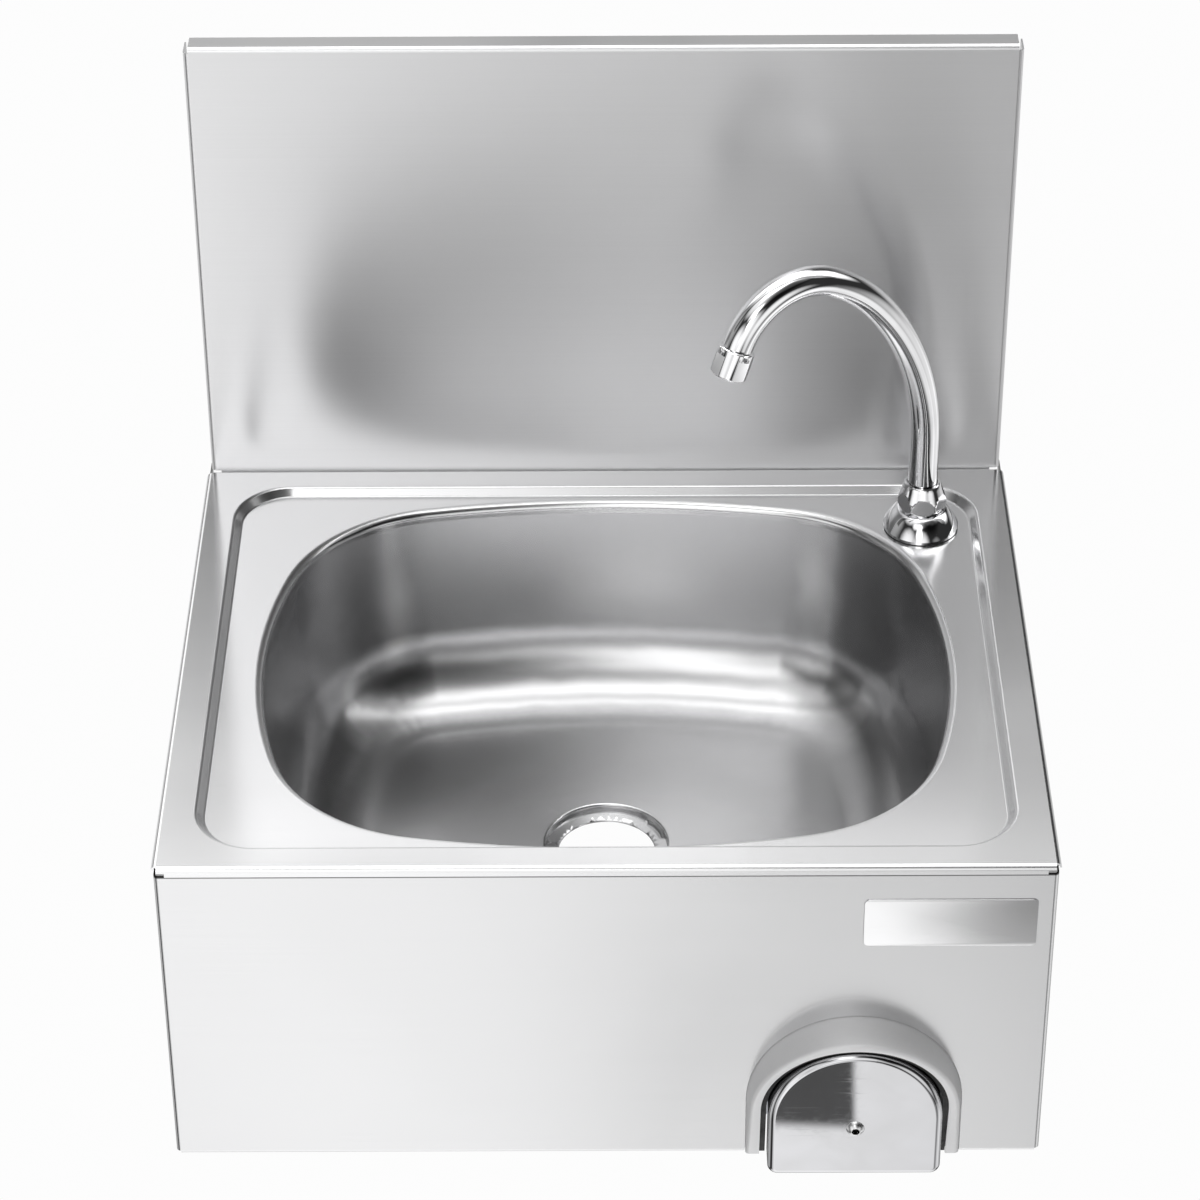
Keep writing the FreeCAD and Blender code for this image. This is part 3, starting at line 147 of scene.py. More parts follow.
def share(tree, a, b, ofA):
    # a weighted mean of two masks
    return mathNode(tree, "ADD", mathNode(tree, "MULTIPLY", a, ofA), mathNode(tree, "MULTIPLY", b, 1 - ofA))


def mixColour(tree, factor, a, b):
    mixed = addNode(tree, "ShaderNodeMix", {"Factor": factor, "A": a, "B": b}, data_type="RGBA")
    return mixed.outputs["Result"]


def objectPlace(tree):
    return addNode(tree, "ShaderNodeTexCoord").outputs["Object"]


brushing = {
    "detail": 3.0, "breakUp": 0.6,          # of the noise that is drawn out into lines
    "facingFront": 0.6, "facingSideways": 0.8,      # part of the normal along X
    "relief": 0.0002,                       # m
}


def brushedGrainGroup():
    # long fine lines along X on flat and front sheets, along Y on the sheets that face sideways
    group, given, out = newGroup("brushedGrain", {"Fineness": 1500.0, "Length": 9.0, "Depth": 0.1},
                                 {"Grain": "Float", "Normal": "Vector"})
    fine, along = given.outputs["Fineness"], given.outputs["Length"]
    place = objectPlace(group)
    facing = addNode(group, "ShaderNodeSeparateXYZ",
                     {0: addNode(group, "ShaderNodeNewGeometry").outputs["Normal"]}).outputs["X"]
    sideways = spread(group, mathNode(group, "ABSOLUTE", facing),
                      brushing["facingFront"], brushing["facingSideways"])
    patterns = []
    for scales in ((along, fine, fine), (fine, along, fine)):
        drawnOut = addNode(group, "ShaderNodeCombineXYZ", dict(enumerate(scales)))
        stretched = vectorNode(group, "MULTIPLY", place, drawnOut.outputs[0])
        noise = addNode(group, "ShaderNodeTexNoise",
                        {"Vector": stretched.outputs[0], "Scale": 1.0,
                         "Detail": brushing["detail"], "Roughness": brushing["breakUp"]})
        patterns.append(noise.outputs["Fac"])
    grain = addNode(group, "ShaderNodeMix", {"Factor": sideways, "A": patterns[0], "B": patterns[1]},
                    data_type="FLOAT").outputs[0]
    bump = addNode(group, "ShaderNodeBump",
                   {"Strength": given.outputs["Depth"], "Distance": brushing["relief"], "Height": grain})
    group.links.new(grain, out.inputs["Grain"])
    group.links.new(bump.outputs["Normal"], out.inputs["Normal"])
    return group


wiping = {
    "patches": {"Detail": 2.0, "Roughness": 0.5, "Distortion": 0.4},
    "patchRange": (0.35, 0.65),
    "streaks": {"Detail": 6.0, "Roughness": 0.65, "Distortion": 1.2},
    "streakRange": (0.45, 0.62),
}


def handlingGroup():
    # soft wiped patches, with a few finer streaks
    group, given, out = newGroup("handling", {"Patch Scale": 7.0, "Streak Scale": 60.0},
                                 {"Patches": "Float", "Streaks": "Float"})
    place = objectPlace(group)
    patches = addNode(group, "ShaderNodeTexNoise",
                      {"Vector": place, "Scale": given.outputs["Patch Scale"], **wiping["patches"]})
    streaks = addNode(group, "ShaderNodeTexNoise",
                      {"Vector": place, "Scale": given.outputs["Streak Scale"], **wiping["streaks"]})
    group.links.new(spread(group, patches.outputs["Fac"], *wiping["patchRange"]), out.inputs["Patches"])
    group.links.new(spread(group, streaks.outputs["Fac"], *wiping["streakRange"]), out.inputs["Streaks"])
    return group


scratching = {
    "turns": ((0.3, 0.9, 0.6), (1.1, 0.2, 1.9)),    # of the two directions, radians
    "thinness": 26.0,
    "lineRange": (0.66, 0.74),
    "relief": 0.0001,       # m
}


def scratchGroup():
    # hairline scratches in a polished face, in two directions
    group, given, out = newGroup("hairlines", {"Scale": 40.0, "Depth": 0.05},
                                 {"Lines": "Float", "Normal": "Vector"})
    place = objectPlace(group)
    thin = (1.0, scratching["thinness"], scratching["thinness"])
    masks = []
    for turn in scratching["turns"]:
        turned = addNode(group, "ShaderNodeMapping", {"Vector": place, "Rotation": turn, "Scale": thin})
        noise = addNode(group, "ShaderNodeTexNoise",
                        {"Vector": turned.outputs[0], "Scale": given.outputs["Scale"], "Detail": 1.0})
        masks.append(spread(group, noise.outputs["Fac"], *scratching["lineRange"]))
    lines = mathNode(group, "MAXIMUM", *masks)
    bump = addNode(group, "ShaderNodeBump",
                   {"Strength": given.outputs["Depth"], "Distance": scratching["relief"], "Height": lines})
    group.links.new(lines, out.inputs["Lines"])
    group.links.new(bump.outputs["Normal"], out.inputs["Normal"])
    return group


brushedGrain = brushedGrainGroup()
handling = handlingGroup()
hairlines = scratchGroup()


def placeGroup(tree, group, **values):
    node = tree.nodes.new("ShaderNodeGroup")
    node.node_tree = group
    for label, value in values.items():
        node.inputs[label.replace("_", " ")].default_value = value
    return node.outputs


def newMaterial(name, **sockets):
    mat = bpy.data.materials.new(name)
    mat.use_nodes = True
    shader = mat.node_tree.nodes["Principled BSDF"]
    for label, value in sockets.items():
        shader.inputs[label.replace("_", " ")].default_value = value
    return mat, mat.node_tree, shader


# sheet steel as it comes from the brushing belt
sheetLook = {
    "bright": (0.70, 0.70, 0.705, 1),
    "dull": (0.64, 0.64, 0.645, 1),
    "roughness": (0.17, 0.22),
    "blurAcrossGrain": 0.6,
    "grain": {"Fineness": 1500.0, "Length": 6.0, "Depth": 0.03},
    "patches": 5.0,
    "grainInTone": 0.6, "grainInRoughness": 0.5,        # the patches make up the rest
    "metal": 1.0,
}

# the backsplash is a little duller
splashLook = {**sheetLook, "roughness": (0.27, 0.31)}

# the deck is paler and a little smoother
deckLook = {
    **sheetLook,
    "bright": (0.77, 0.77, 0.775, 1),
    "dull": (0.71, 0.71, 0.715, 1),
    "roughness": (0.16, 0.21),
    "blurAcrossGrain": 0.5,
    "grain": {"Fineness": 1500.0, "Length": 6.0, "Depth": 0.02},
}

# the bowl is drawn: no brushed lines, only faint marks of the press
drawnLook = {
    **sheetLook,
    "bright": (0.63, 0.63, 0.635, 1),
    "dull": (0.57, 0.57, 0.575, 1),
    "roughness": (0.22, 0.26),
    "blurAcrossGrain": 0.3,
    "grain": {"Fineness": 700.0, "Length": 60.0, "Depth": 0.01},
}

# the hood is the most matt of the visible sheets
hoodLook = {
    **sheetLook,
    "bright": (0.78, 0.78, 0.785, 1),
    "dull": (0.72, 0.72, 0.725, 1),
    "roughness": (0.48, 0.54),
    "blurAcrossGrain": 0.2,
    "grain": {"Fineness": 900.0, "Length": 90.0, "Depth": 0.02},
    "metal": 0.45,
}

plateLook = {
    **sheetLook,
    "bright": (0.82, 0.82, 0.825, 1),
    "dull": (0.72, 0.72, 0.725, 1),
    "roughness": (0.22, 0.30),
    "grain": {"Fineness": 2200.0, "Length": 12.0, "Depth": 0.06},
}


def sheetSteel(name, look):
    mat, tree, shader = newMaterial(name, Metallic=look["metal"], Anisotropic=look["blurAcrossGrain"])
    across = addNode(tree, "ShaderNodeTangent", direction_type="RADIAL", axis="X")
    tree.links.new(across.outputs["Tangent"], shader.inputs["Tangent"])
    grain = placeGroup(tree, brushedGrain, **look["grain"])
    patches = placeGroup(tree, handling, Patch_Scale=look["patches"])["Patches"]
    tone = share(tree, grain["Grain"], patches, look["grainInTone"])
    tree.links.new(mixColour(tree, tone, look["dull"], look["bright"]), shader.inputs["Base Color"])
    rough = share(tree, grain["Grain"], patches, look["grainInRoughness"])
    tree.links.new(spread(tree, rough, 0.0, 1.0, *look["roughness"]), shader.inputs["Roughness"])
    tree.links.new(grain["Normal"], shader.inputs["Normal"])
    return mat


def addPaintedShade(tree, unshaded, paintedShade):
    # painted shade over the steel's own colour; the mask is 1 where the steel keeps its own colour
    colour = tree.nodes["Principled BSDF"].inputs["Base Color"]
    tree.links.new(mixColour(tree, unshaded, paintedShade, colour.links[0].from_socket), colour)


# the pad's screw, with painted shade in its socket: its colour goes near black inside the socket's radius
screwLook = {
    **sheetLook,
    "bright": (0.80, 0.80, 0.805, 1),
    "dull": (0.74, 0.74, 0.745, 1),
    "roughness": (0.25, 0.32),
    "blurAcrossGrain": 0.0,
    "grain": {"Fineness": 900.0, "Length": 90.0, "Depth": 0.02},
    "middle": (0.141, 0.0, -0.145),
    "socketRadius": 0.0022,
    "edge": 0.04,           # soft edge of the painted shade, as a part of that radius
    "paintedShade": (0.012, 0.012, 0.012, 1),
}


def screwSteel(name, look):
    mat = sheetSteel(name, look)
    tree = mat.node_tree
    offset = vectorNode(tree, "SUBTRACT", objectPlace(tree), look["middle"])
    flat = vectorNode(tree, "MULTIPLY", offset.outputs[0], (1, 0, 1))
    radius = vectorNode(tree, "LENGTH", flat.outputs[0]).outputs["Value"]
    socket, edge = look["socketRadius"], look["edge"]
    # painted shade: near black inside the socket, where the hole lies in shade
    addPaintedShade(tree, spread(tree, radius, socket * (1 - edge), socket * (1 + edge)), look["paintedShade"])
    return mat


# the panel, with painted shade: a dark band just under the deck's lip, where the lip shades it
apronLook = {
    **sheetLook,
    "lipBottom": 0.0245,
    "shadeHeight": 0.0020,
    "edge": 0.4,            # soft lower edge, as a part of the painted shade band's height
    "paintedShade": (0.05, 0.05, 0.05, 1),
}


def apronSteel(name, look):
    mat = sheetSteel(name, look)
    tree = mat.node_tree
    height = addNode(tree, "ShaderNodeSeparateXYZ", {0: objectPlace(tree)}).outputs["Z"]
    # painted shade: the colour goes near black in a band just below the lip's bottom edge
    shadeFoot = look["lipBottom"] - look["shadeHeight"]
    unshaded = spread(tree, height, shadeFoot, shadeFoot + look["shadeHeight"] * look["edge"], 1.0, 0.0)
    addPaintedShade(tree, unshaded, look["paintedShade"])
    return mat


polishedLook = {
    "bright": (0.80, 0.80, 0.805, 1),
    "dull": (0.72, 0.72, 0.725, 1),
    "roughness": (0.05, 0.12),
    "scratches": 30.0, "scratchDepth": 0.06,
    "patches": 30.0, "streaks": 150.0, "streakShare": 0.6,
}

# the pad's face is polished like a mirror
padLook = {
    **polishedLook,
    "bright": (0.62, 0.62, 0.635, 1),
    "dull": (0.58, 0.58, 0.59, 1),
    "roughness": (0.012, 0.03),
    "scratchDepth": 0,
}

chromeLook = {
    **polishedLook,
    "bright": (0.92, 0.92, 0.93, 1),
    "dull": (0.84, 0.84, 0.85, 1),
    "roughness": (0.02, 0.07),
    "scratchDepth": 0.01,
}


def polishedSteel(name, look):
    mat, tree, shader = newMaterial(name, Metallic=1.0)
    scratched = placeGroup(tree, hairlines, Scale=look["scratches"], Depth=look["scratchDepth"])
    wiped = placeGroup(tree, handling, Patch_Scale=look["patches"], Streak_Scale=look["streaks"])
    colour = mixColour(tree, wiped["Patches"], look["bright"], look["dull"])
    tree.links.new(colour, shader.inputs["Base Color"])
    worn = mathNode(tree, "MAXIMUM", mathNode(tree, "MULTIPLY", wiped["Streaks"], look["streakShare"]),
                    scratched["Lines"])
    tree.links.new(spread(tree, worn, 0.0, 1.0, *look["roughness"]), shader.inputs["Roughness"])
    if look["scratchDepth"]:
        tree.links.new(scratched["Normal"], shader.inputs["Normal"])
    return mat


# cast, moulded, drawn and machined pieces
plainLooks = {
    "brass": {"name": "machinedBrass", "dark": (0.52, 0.36, 0.13, 1), "light": (0.66, 0.49, 0.21, 1),
              "roughness": (0.22, 0.38), "metal": 1.0},
    "zinc_steel": {"name": "zincPlate", "dark": (0.50, 0.52, 0.56, 1), "light": (0.66, 0.67, 0.68, 1),
                   "roughness": (0.30, 0.48), "metal": 1.0, "patches": 90.0},
    "spring_steel": {"name": "drawnWire", "dark": (0.42, 0.42, 0.43, 1), "light": (0.58, 0.58, 0.59, 1),
                     "roughness": (0.25, 0.35), "metal": 1.0},
    "rubber": {"name": "blackRubber", "dark": (0.012, 0.012, 0.012, 1), "light": (0.03, 0.03, 0.03, 1),
               "roughness": (0.55, 0.75)},
    "grey_rubber": {"name": "fibreWasher", "dark": (0.10, 0.10, 0.11, 1), "light": (0.18, 0.17, 0.17, 1),
                    "roughness": (0.6, 0.8)},
    "white_plastic": {"name": "acetal", "dark": (0.70, 0.70, 0.67, 1), "light": (0.80, 0.80, 0.78, 1),
                      "roughness": (0.35, 0.5)},
    "grey_plastic": {"name": "greyPlastic", "dark": (0.26, 0.27, 0.29, 1), "light": (0.34, 0.35, 0.37, 1),
                     "roughness": (0.4, 0.55)},
}
plainGrain = {"patches": 60.0, "streaksPerPatch": 4, "scale": 900.0, "detail": 2.0, "strength": 0.1,
              "relief": 0.0002}


def plainFinish(look):
    # mottled colour over a fine grain
    mat, tree, shader = newMaterial(look["name"], Metallic=look.get("metal", 0.0))
    patches = look.get("patches", plainGrain["patches"])
    streaks = patches * plainGrain["streaksPerPatch"]
    wiped = placeGroup(tree, handling, Patch_Scale=patches, Streak_Scale=streaks)
    colour = mixColour(tree, wiped["Patches"], look["dark"], look["light"])
    tree.links.new(colour, shader.inputs["Base Color"])
    tree.links.new(spread(tree, wiped["Streaks"], 0.0, 1.0, *look["roughness"]), shader.inputs["Roughness"])
    grain = addNode(tree, "ShaderNodeTexNoise",
                    {"Vector": objectPlace(tree), "Scale": plainGrain["scale"],
                     "Detail": plainGrain["detail"]})
    bump = addNode(tree, "ShaderNodeBump",
                   {"Strength": plainGrain["strength"], "Distance": plainGrain["relief"],
                    "Height": grain.outputs["Fac"]})
    tree.links.new(bump.outputs["Normal"], shader.inputs["Normal"])
    return mat


braidLook = {
    "strands": 34.0,        # round the hose
    "turns": 46.0,          # along it
    "bright": (0.62, 0.62, 0.63, 1),
    "dark": (0.10, 0.10, 0.105, 1),
    "wireRange": (-0.2, 0.9),       # of the waves, from the gaps to the wires
    "strength": 0.6, "relief": 0.0004,
}


def wovenBraid(look):
    # two sets of flat wires that cross at an angle, read from the tube's own UV map
    mat, tree, shader = newMaterial("steelBraid", Metallic=0.9, Roughness=0.32)
    uv = addNode(tree, "ShaderNodeSeparateXYZ", {0: addNode(tree, "ShaderNodeTexCoord").outputs["UV"]})
    along = mathNode(tree, "MULTIPLY", uv.outputs["X"], look["turns"] * math.tau)
    around = mathNode(tree, "MULTIPLY", uv.outputs["Y"], look["strands"] / 2 * math.tau)
    ways = [mathNode(tree, "SINE", mathNode(tree, kind, along, around)) for kind in ("ADD", "SUBTRACT")]
    weave = spread(tree, mathNode(tree, "MAXIMUM", *ways), *look["wireRange"])
    tree.links.new(mixColour(tree, weave, look["dark"], look["bright"]), shader.inputs["Base Color"])
    bump = addNode(tree, "ShaderNodeBump",
                   {"Strength": look["strength"], "Distance": look["relief"], "Height": weave})
    tree.links.new(bump.outputs["Normal"], shader.inputs["Normal"])
    return mat


finishes = {
    "brushed_steel": sheetSteel("brushedSteel", sheetLook),
    "apron_steel": apronSteel("apronSteel", apronLook),
    "deck_steel": sheetSteel("deckSteel", deckLook),
    "splash_steel": sheetSteel("splashSteel", splashLook),
    "drawn_steel": sheetSteel("drawnSteel", drawnLook),
    "hood_steel": sheetSteel("hoodSteel", hoodLook),
    "plate_steel": sheetSteel("plateSteel", plateLook),
    "screw_steel": screwSteel("screwSteel", screwLook),
    "polished_steel": polishedSteel("polishedSteel", polishedLook),
    "pad_steel": polishedSteel("padSteel", padLook),
    "chrome": polishedSteel("chromePlate", chromeLook),
    "braid": wovenBraid(braidLook),
}
for slot, look in plainLooks.items():
    finishes[slot] = plainFinish(look)
print("finishes made:", len(finishes))

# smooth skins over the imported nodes
slotOf = {part["node"]: part["material_slot"] for part in frame["record"]["subparts"]}
bodyOf = {node: body for body, nodes in frame["record"]["behaviour"]["bodies"].items() for node in nodes}
finishOf = {"deck": "deck_steel", "bowl": "drawn_steel", "apron": "apron_steel",
            "backsplash": "splash_steel", "knee_hood": "hood_steel", "knee_pad": "pad_steel",
            "pad_screw": "screw_steel"}
dressing = {
    "mergeWithin": 1e-6,    # m
    "flatWithin": 0.05,     # degrees: faces flatter than this become one
    "crease": 28.0,         # degrees: folds sharper than this stay crisp
    "drainMiddle": (0, -0.2165), "drainSeat": 0.0385,       # place and radius of the seat in the bowl
}


def pick(obj, kind, wanted):
    # leaves the object in edit mode with only the wanted edges or faces selected
    bpy.context.view_layer.objects.active = obj
    bpy.ops.object.mode_set(mode="EDIT")
    bpy.ops.mesh.select_mode(type=kind)
    bpy.ops.mesh.select_all(action="DESELECT")
    bpy.ops.object.mode_set(mode="OBJECT")
    for item in obj.data.edges if kind == "EDGE" else obj.data.polygons:
        item.select = wanted(item)
    bpy.ops.object.mode_set(mode="EDIT")


def onDrainSeat(face):
    x, y = dressing["drainMiddle"]
    return math.hypot(face.center.x - x, face.center.y - y) < dressing["drainSeat"]


def dressNode(node):
    # a merged copy of the node's mesh, smooth over its curves and crisp at its folds
    skin = frame["nodes"][node].copy()
    skin.data = skin.data.copy()
    skin.name = node + "Skin"
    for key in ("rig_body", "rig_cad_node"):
        del skin[key]
    skin.parent = None
    bpy.context.scene.collection.objects.link(skin)
    bpy.ops.object.select_all(action="DESELECT")
    skin.select_set(True)
    bpy.context.view_layer.objects.active = skin
    bpy.ops.object.mode_set(mode="EDIT")
    bpy.ops.mesh.select_all(action="SELECT")
    bpy.ops.mesh.remove_doubles(threshold=dressing["mergeWithin"])
    if node == "bowl":      # its shallow floor shades best with all its triangles, the drain's seat without
        pick(skin, "FACE", onDrainSeat)
    bpy.ops.mesh.dissolve_limited(angle_limit=math.radians(dressing["flatWithin"]))
    bpy.ops.object.mode_set(mode="OBJECT")
    bpy.ops.object.shade_smooth_by_angle(angle=math.radians(dressing["crease"]))
    evenNormals = skin.modifiers.new("evenNormals", "WEIGHTED_NORMAL")
    evenNormals.keep_sharp = True
    evenNormals.weight = 100        # large faces win
    bpy.ops.object.modifier_apply(modifier="evenNormals")
    skin.data.materials.clear()
    skin.data.materials.append(finishes[finishOf.get(node, slotOf[node])])
    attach(skin, bodyOf[node])
    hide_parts(node)
    return skin


skins = {node: dressNode(node) for node in frame["nodes"] if node != "hose"}
print("skins made:", len(skins))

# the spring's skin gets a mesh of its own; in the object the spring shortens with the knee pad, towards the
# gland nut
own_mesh(skins["return_spring"])

# the braided hose, on the route of its solid from the valve to the tap
hose = {
    "route": [(0.141, -0.3152, -0.145), (0.141, -0.2712, -0.145), (0.167, -0.2152, -0.148),
              (0.1895, -0.1225, -0.144), (0.1945, -0.0725, -0.117), (0.1945, -0.0725, -0.0566)],
    "diameter": 0.0116,
    "length": 0.309,
    "stepsAlong": 12, "stepsRound": 6,
}


def makeHose():
    line = bpy.data.curves.new("hoseLine", "CURVE")
    line.dimensions = "3D"
    spline = line.splines.new("NURBS")
    spline.points.add(len(hose["route"]) - 1)
    for point, place in zip(spline.points, hose["route"]):
        point.co = (*place, 1)
    spline.order_u = 3
    spline.use_endpoint_u = True
    spline.resolution_u = hose["stepsAlong"]
    line.bevel_depth = hose["diameter"] / 2
    line.bevel_resolution = hose["stepsRound"]
    line.use_fill_caps = True
    line.materials.append(finishes["braid"])
    tube = bpy.data.objects.new("braidedHose", line)
    bpy.context.scene.collection.objects.link(tube)
    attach(tube, "basin")
    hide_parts("hose")


makeHose()
print("hose made")

# a bare plate on the panel
plate = {
    "left": 0.1423, "right": 0.2388, "low": -0.0265, "high": 0.0065,
    "panelFace": -0.4138,
    "thick": 0.0008,
    "cornerRadius": 0.0034, "cornerSteps": 8,
    "edgeRound": 0.0004, "edgeSteps": 3,
    "same": 1e-6,           # places closer than this are the same
    "crease": 50,           # degrees
}


def makePlate():
    width, height = plate["right"] - plate["left"], plate["high"] - plate["low"]
    middle = ((plate["left"] + plate["right"]) / 2, plate["panelFace"] - plate["thick"] / 2,
              (plate["low"] + plate["high"]) / 2)
    bpy.ops.object.select_all(action="DESELECT")
    bpy.ops.mesh.primitive_cube_add(size=1, location=middle, scale=(width, plate["thick"], height))
    badge = bpy.context.object
    badge.name = "barePlate"
    bpy.ops.object.transform_apply(location=True, rotation=True, scale=True)
    frontFace = plate["panelFace"] - plate["thick"]

    def ends(edge):
        return [badge.data.vertices[index].co for index in edge.vertices]

    def goesThrough(edge):
        a, b = ends(edge)
        return abs(a.x - b.x) < plate["same"] and abs(a.z - b.z) < plate["same"]

    def onFront(edge):
        return all(abs(end.y - frontFace) < plate["same"] for end in ends(edge))

    pick(badge, "EDGE", goesThrough)
    bpy.ops.mesh.bevel(offset=plate["cornerRadius"], segments=plate["cornerSteps"], affect="EDGES")
    bpy.ops.object.mode_set(mode="OBJECT")
    pick(badge, "EDGE", onFront)
    bpy.ops.mesh.bevel(offset=plate["edgeRound"], segments=plate["edgeSteps"], affect="EDGES")
    bpy.ops.object.mode_set(mode="OBJECT")
    bpy.ops.object.shade_smooth_by_angle(angle=math.radians(plate["crease"]))
    badge.data.materials.append(finishes["plate_steel"])
    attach(badge, "basin")


makePlate()
print("plate made")

# painted shade: a black strip in the gap between the hood and the knee pad stands in for the shade there
gapShade = {
    "middle": 0.141,
    "foot": -0.181,
    "legs": 0.041,          # straight part, from the foot to the arch
    "inside": 0.0503, "outside": 0.0535,
    "front": -0.436, "back": -0.4080,
    "slantFoot": -0.4129,   # its front follows the hood's slanted one
    "slant": 0.2071,
    "steps": 32,
    "mergeWithin": 1e-6,
    "crease": 30,           # degrees
}


def makeGapShade():
    wide, deep = gapShade["outside"] - gapShade["inside"], gapShade["back"] - gapShade["front"]
    start = (gapShade["middle"] + (gapShade["inside"] + gapShade["outside"]) / 2,
             (gapShade["front"] + gapShade["back"]) / 2, gapShade["foot"])
    archHeight = gapShade["foot"] + gapShade["legs"]
    bpy.ops.object.select_all(action="DESELECT")
    bpy.ops.mesh.primitive_plane_add(size=1, location=start, scale=(wide, deep, 1))
    shadeStrip = bpy.context.object
    shadeStrip.name = "hoodGapShade"
    shadeStrip.scale = (wide, deep, 1)
    bpy.ops.object.transform_apply(location=True, rotation=True, scale=True)
    bpy.ops.object.mode_set(mode="EDIT")
    bpy.ops.mesh.select_all(action="SELECT")
    bpy.ops.mesh.extrude_region_move(TRANSFORM_OT_translate={"value": (0, 0, gapShade["legs"])})
    bpy.ops.mesh.spin(steps=gapShade["steps"], angle=math.pi, axis=(0, 1, 0),
                      center=(gapShade["middle"], start[1], archHeight))
    bpy.ops.mesh.extrude_region_move(TRANSFORM_OT_translate={"value": (0, 0, -gapShade["legs"])})
    bpy.ops.mesh.select_all(action="SELECT")
    bpy.ops.mesh.remove_doubles(threshold=gapShade["mergeWithin"])
    bpy.ops.mesh.normals_make_consistent(inside=False)
    # cut along the hood's slanted front
    bpy.ops.mesh.bisect(plane_co=(0, gapShade["slantFoot"], gapShade["foot"]),
                        plane_no=(0, -1, -gapShade["slant"]), clear_outer=True, use_fill=True)
    bpy.ops.object.mode_set(mode="OBJECT")
    bpy.ops.object.shade_smooth_by_angle(angle=math.radians(gapShade["crease"]))
    # painted shade: the black rubber finish makes the strip read as the shade in the gap
    shadeStrip.data.materials.append(finishes["rubber"])
    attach(shadeStrip, "basin")


makeGapShade()
print("edging made")

# the studio: a pale floor, and soft glows all round that the steel mirrors
studio = {
    "floorBelow": 0.70,     # below the lowest point of the basin, m
    "floorSize": 16.0,
    "floorTone": 0.98,
    "glows": {              # azimuth from the front to the right, height, spread (degrees), strength
        "overhead": (0, 90, 28, 2.0),
        "ceilingFront": (0, 62, 28, 0.5),
        "ceilingRight": (60, 62, 28, 0.5),
        "ceilingLeft": (-60, 62, 28, 0.9),
        "ceilingBackLeft": (-120, 62, 28, 0.75),
        "ceilingBack": (180, 62, 28, 2.9),
        "ceilingBackRight": (120, 62, 28, 1.4),
        "rightWall": (108, 35, 26, 2.1),
        "backLeftWall": (-144, 35, 26, 1.85),
        "besideCameraLow": (-8, 28, 12, 1.7),
        "besideCamera": (-8, 42, 12, 1.7),
        "besideCameraLeft": (-24, 42, 12, 1.15),
        "frontWall": (0, 8, 28, 1.2),
        "frontWallLeft": (-40, 8, 28, 1.1),
        "frontWallRight": (40, -6, 26, 1.0),
        "lowFront": (-12, -20, 22, 0.95),
        "lowLeft": (-36, -20, 22, 0.9),
        "tableFront": (-12, -44, 22, 0.95),
        "tableMiddle": (12, -44, 22, 0.4),
        "tableRight": (60, -44, 22, 0.9),
        "lowRight": (95, -30, 30, 0.8),
        "tableBelow": (0, -80, 35, 1.35),
        "leftWall": (-95, 20, 28, 0.35),
        "lowLeftSide": (-95, -25, 32, 0.8),
        "lowBackLeft": (-135, -18, 34, 0.75),
        "lowBack": (180, -15, 34, 0.7),
        "lowBackRight": (135, -18, 34, 0.65),
    },
    "roomTone": 0.03,       # what the rest of the room gives back
    "shade": (40, 46, 12, 31),          # dim corner of the room: azimuth, height, full and outer spread
    "shadeTone": 0.15,
}

# a dim gap across the ceiling: its inner and outer half widths, the height it starts at and its tone
ceilingGap = {"full": 0.048, "outer": 0.112, "above": 0.3, "tone": 0.3}

# a small dark screen below the camera, on the right
lowScreen = {"left": 0.0, "right": 0.059, "bottom": -0.6735, "top": -0.64, "edge": 0.0012, "tone": 0.1}


def makeFloor():
    height = cadBounds[0].z - studio["floorBelow"]
    bpy.ops.object.select_all(action="DESELECT")
    bpy.ops.mesh.primitive_plane_add(size=studio["floorSize"], location=(0, 0, height))
    floor = bpy.context.object
    floor.name = "studioFloor"
    mat = bpy.data.materials.new("paleFloor")
    mat.use_nodes = True
    tree = mat.node_tree
    tree.nodes.clear()
    # the camera sees a pale floor, and the steel sees the glows below it
    tone = studio["floorTone"]
    pale = addNode(tree, "ShaderNodeEmission", {"Color": (tone, tone, tone, 1), "Strength": 1.0})
    clear = addNode(tree, "ShaderNodeBsdfTransparent")
    seen = addNode(tree, "ShaderNodeLightPath").outputs["Is Camera Ray"]
    mixed = addNode(tree, "ShaderNodeMixShader", {0: seen, 1: clear.outputs[0], 2: pale.outputs[0]})
    addNode(tree, "ShaderNodeOutputMaterial", {"Surface": mixed.outputs[0]})
    floor.data.materials.append(mat)


def smoothRange(tree, value, low, high):
    return addNode(tree, "ShaderNodeMapRange", {"Value": value, "From Min": low, "From Max": high},
                   interpolation_type="SMOOTHSTEP").outputs["Result"]


def spot(tree, direction, azimuth, height, full, outer):
    # 1 within the full spread of a direction, falling to 0 at the outer one
    turn, rise = math.radians(azimuth), math.radians(height)
    middle = (math.sin(turn) * math.cos(rise), -math.cos(turn) * math.cos(rise), math.sin(rise))
    nearness = vectorNode(tree, "DOT_PRODUCT", direction, middle).outputs["Value"]
    return smoothRange(tree, nearness, math.cos(math.radians(outer)), math.cos(math.radians(full)))


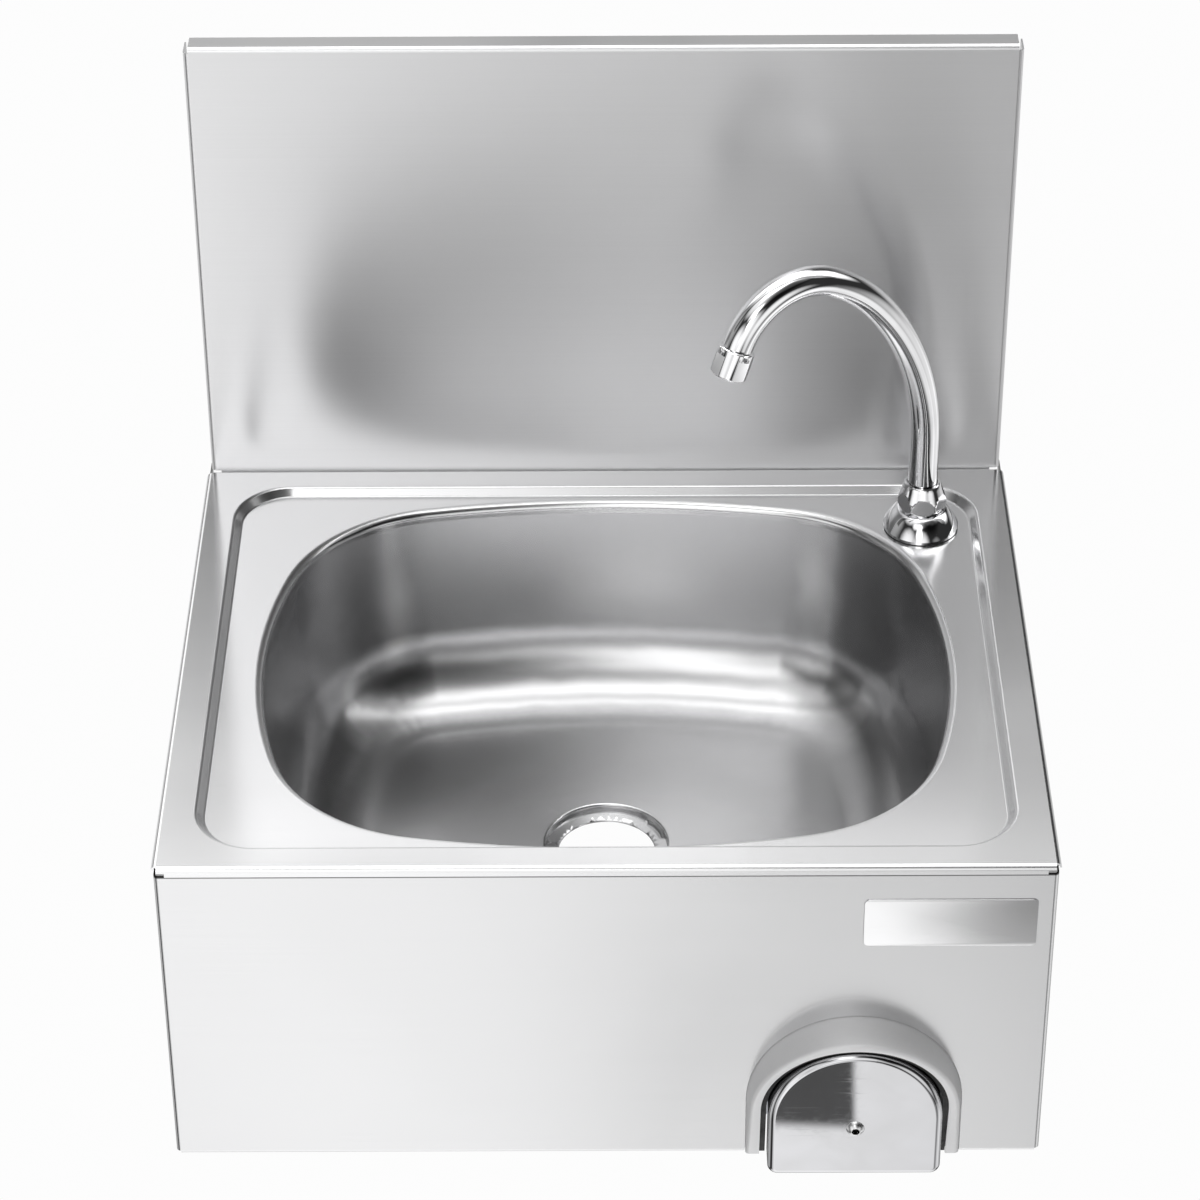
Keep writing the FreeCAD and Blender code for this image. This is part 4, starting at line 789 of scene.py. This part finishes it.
def dim(tree, total, mask, tone):
    # leaves only the tone's share of the light where the mask is 1
    cover = mathNode(tree, "MULTIPLY", mask, 1 - tone)
    return mathNode(tree, "MULTIPLY", total, mathNode(tree, "SUBTRACT", 1.0, cover))


def clearOfGap(tree, parts):
    depth = mathNode(tree, "ABSOLUTE", parts["Y"])
    clear = smoothRange(tree, depth, ceilingGap["full"], ceilingGap["outer"])
    below = mathNode(tree, "LESS_THAN", parts["Z"], ceilingGap["above"])
    return mathNode(tree, "MAXIMUM", mathNode(tree, "MAXIMUM", clear, ceilingGap["tone"]), below)


def screenMask(tree, parts):
    mask, edge = mathNode(tree, "LESS_THAN", parts["Y"], 0.0), lowScreen["edge"]
    for axis, low, high in (("X", lowScreen["left"], lowScreen["right"]),
                            ("Z", lowScreen["bottom"], lowScreen["top"])):
        mask = mathNode(tree, "MULTIPLY", mask, smoothRange(tree, parts[axis], low - edge, low + edge))
        mask = mathNode(tree, "MULTIPLY", mask, smoothRange(tree, parts[axis], high + edge, high - edge))
    return mask


def makeRoom():
    room = bpy.data.worlds.new("studioRoom")
    bpy.context.scene.world = room
    room.use_nodes = True
    tree = room.node_tree
    ground = tree.nodes["Background"]
    direction = addNode(tree, "ShaderNodeTexCoord").outputs["Generated"]
    parts = addNode(tree, "ShaderNodeSeparateXYZ", {0: direction}).outputs
    total = studio["roomTone"]
    for azimuth, height, width, strength in studio["glows"].values():
        glow = mathNode(tree, "MULTIPLY", spot(tree, direction, azimuth, height, 0, width), strength)
        total = mathNode(tree, "ADD", glow, total)
    total = dim(tree, total, spot(tree, direction, *studio["shade"]), studio["shadeTone"])
    total = mathNode(tree, "MULTIPLY", total, clearOfGap(tree, parts))
    total = dim(tree, total, screenMask(tree, parts), lowScreen["tone"])
    seen = addNode(tree, "ShaderNodeLightPath").outputs["Is Camera Ray"]
    strength = addNode(tree, "ShaderNodeMix", {"Factor": seen, "A": total, "B": studio["floorTone"]},
                       data_type="FLOAT").outputs[0]
    tree.links.new(strength, ground.inputs["Strength"])
    ground.inputs["Color"].default_value = (1, 1, 1, 1)


makeFloor()
makeRoom()
bpy.context.scene.view_settings.view_transform = "Standard"
print("studio made")
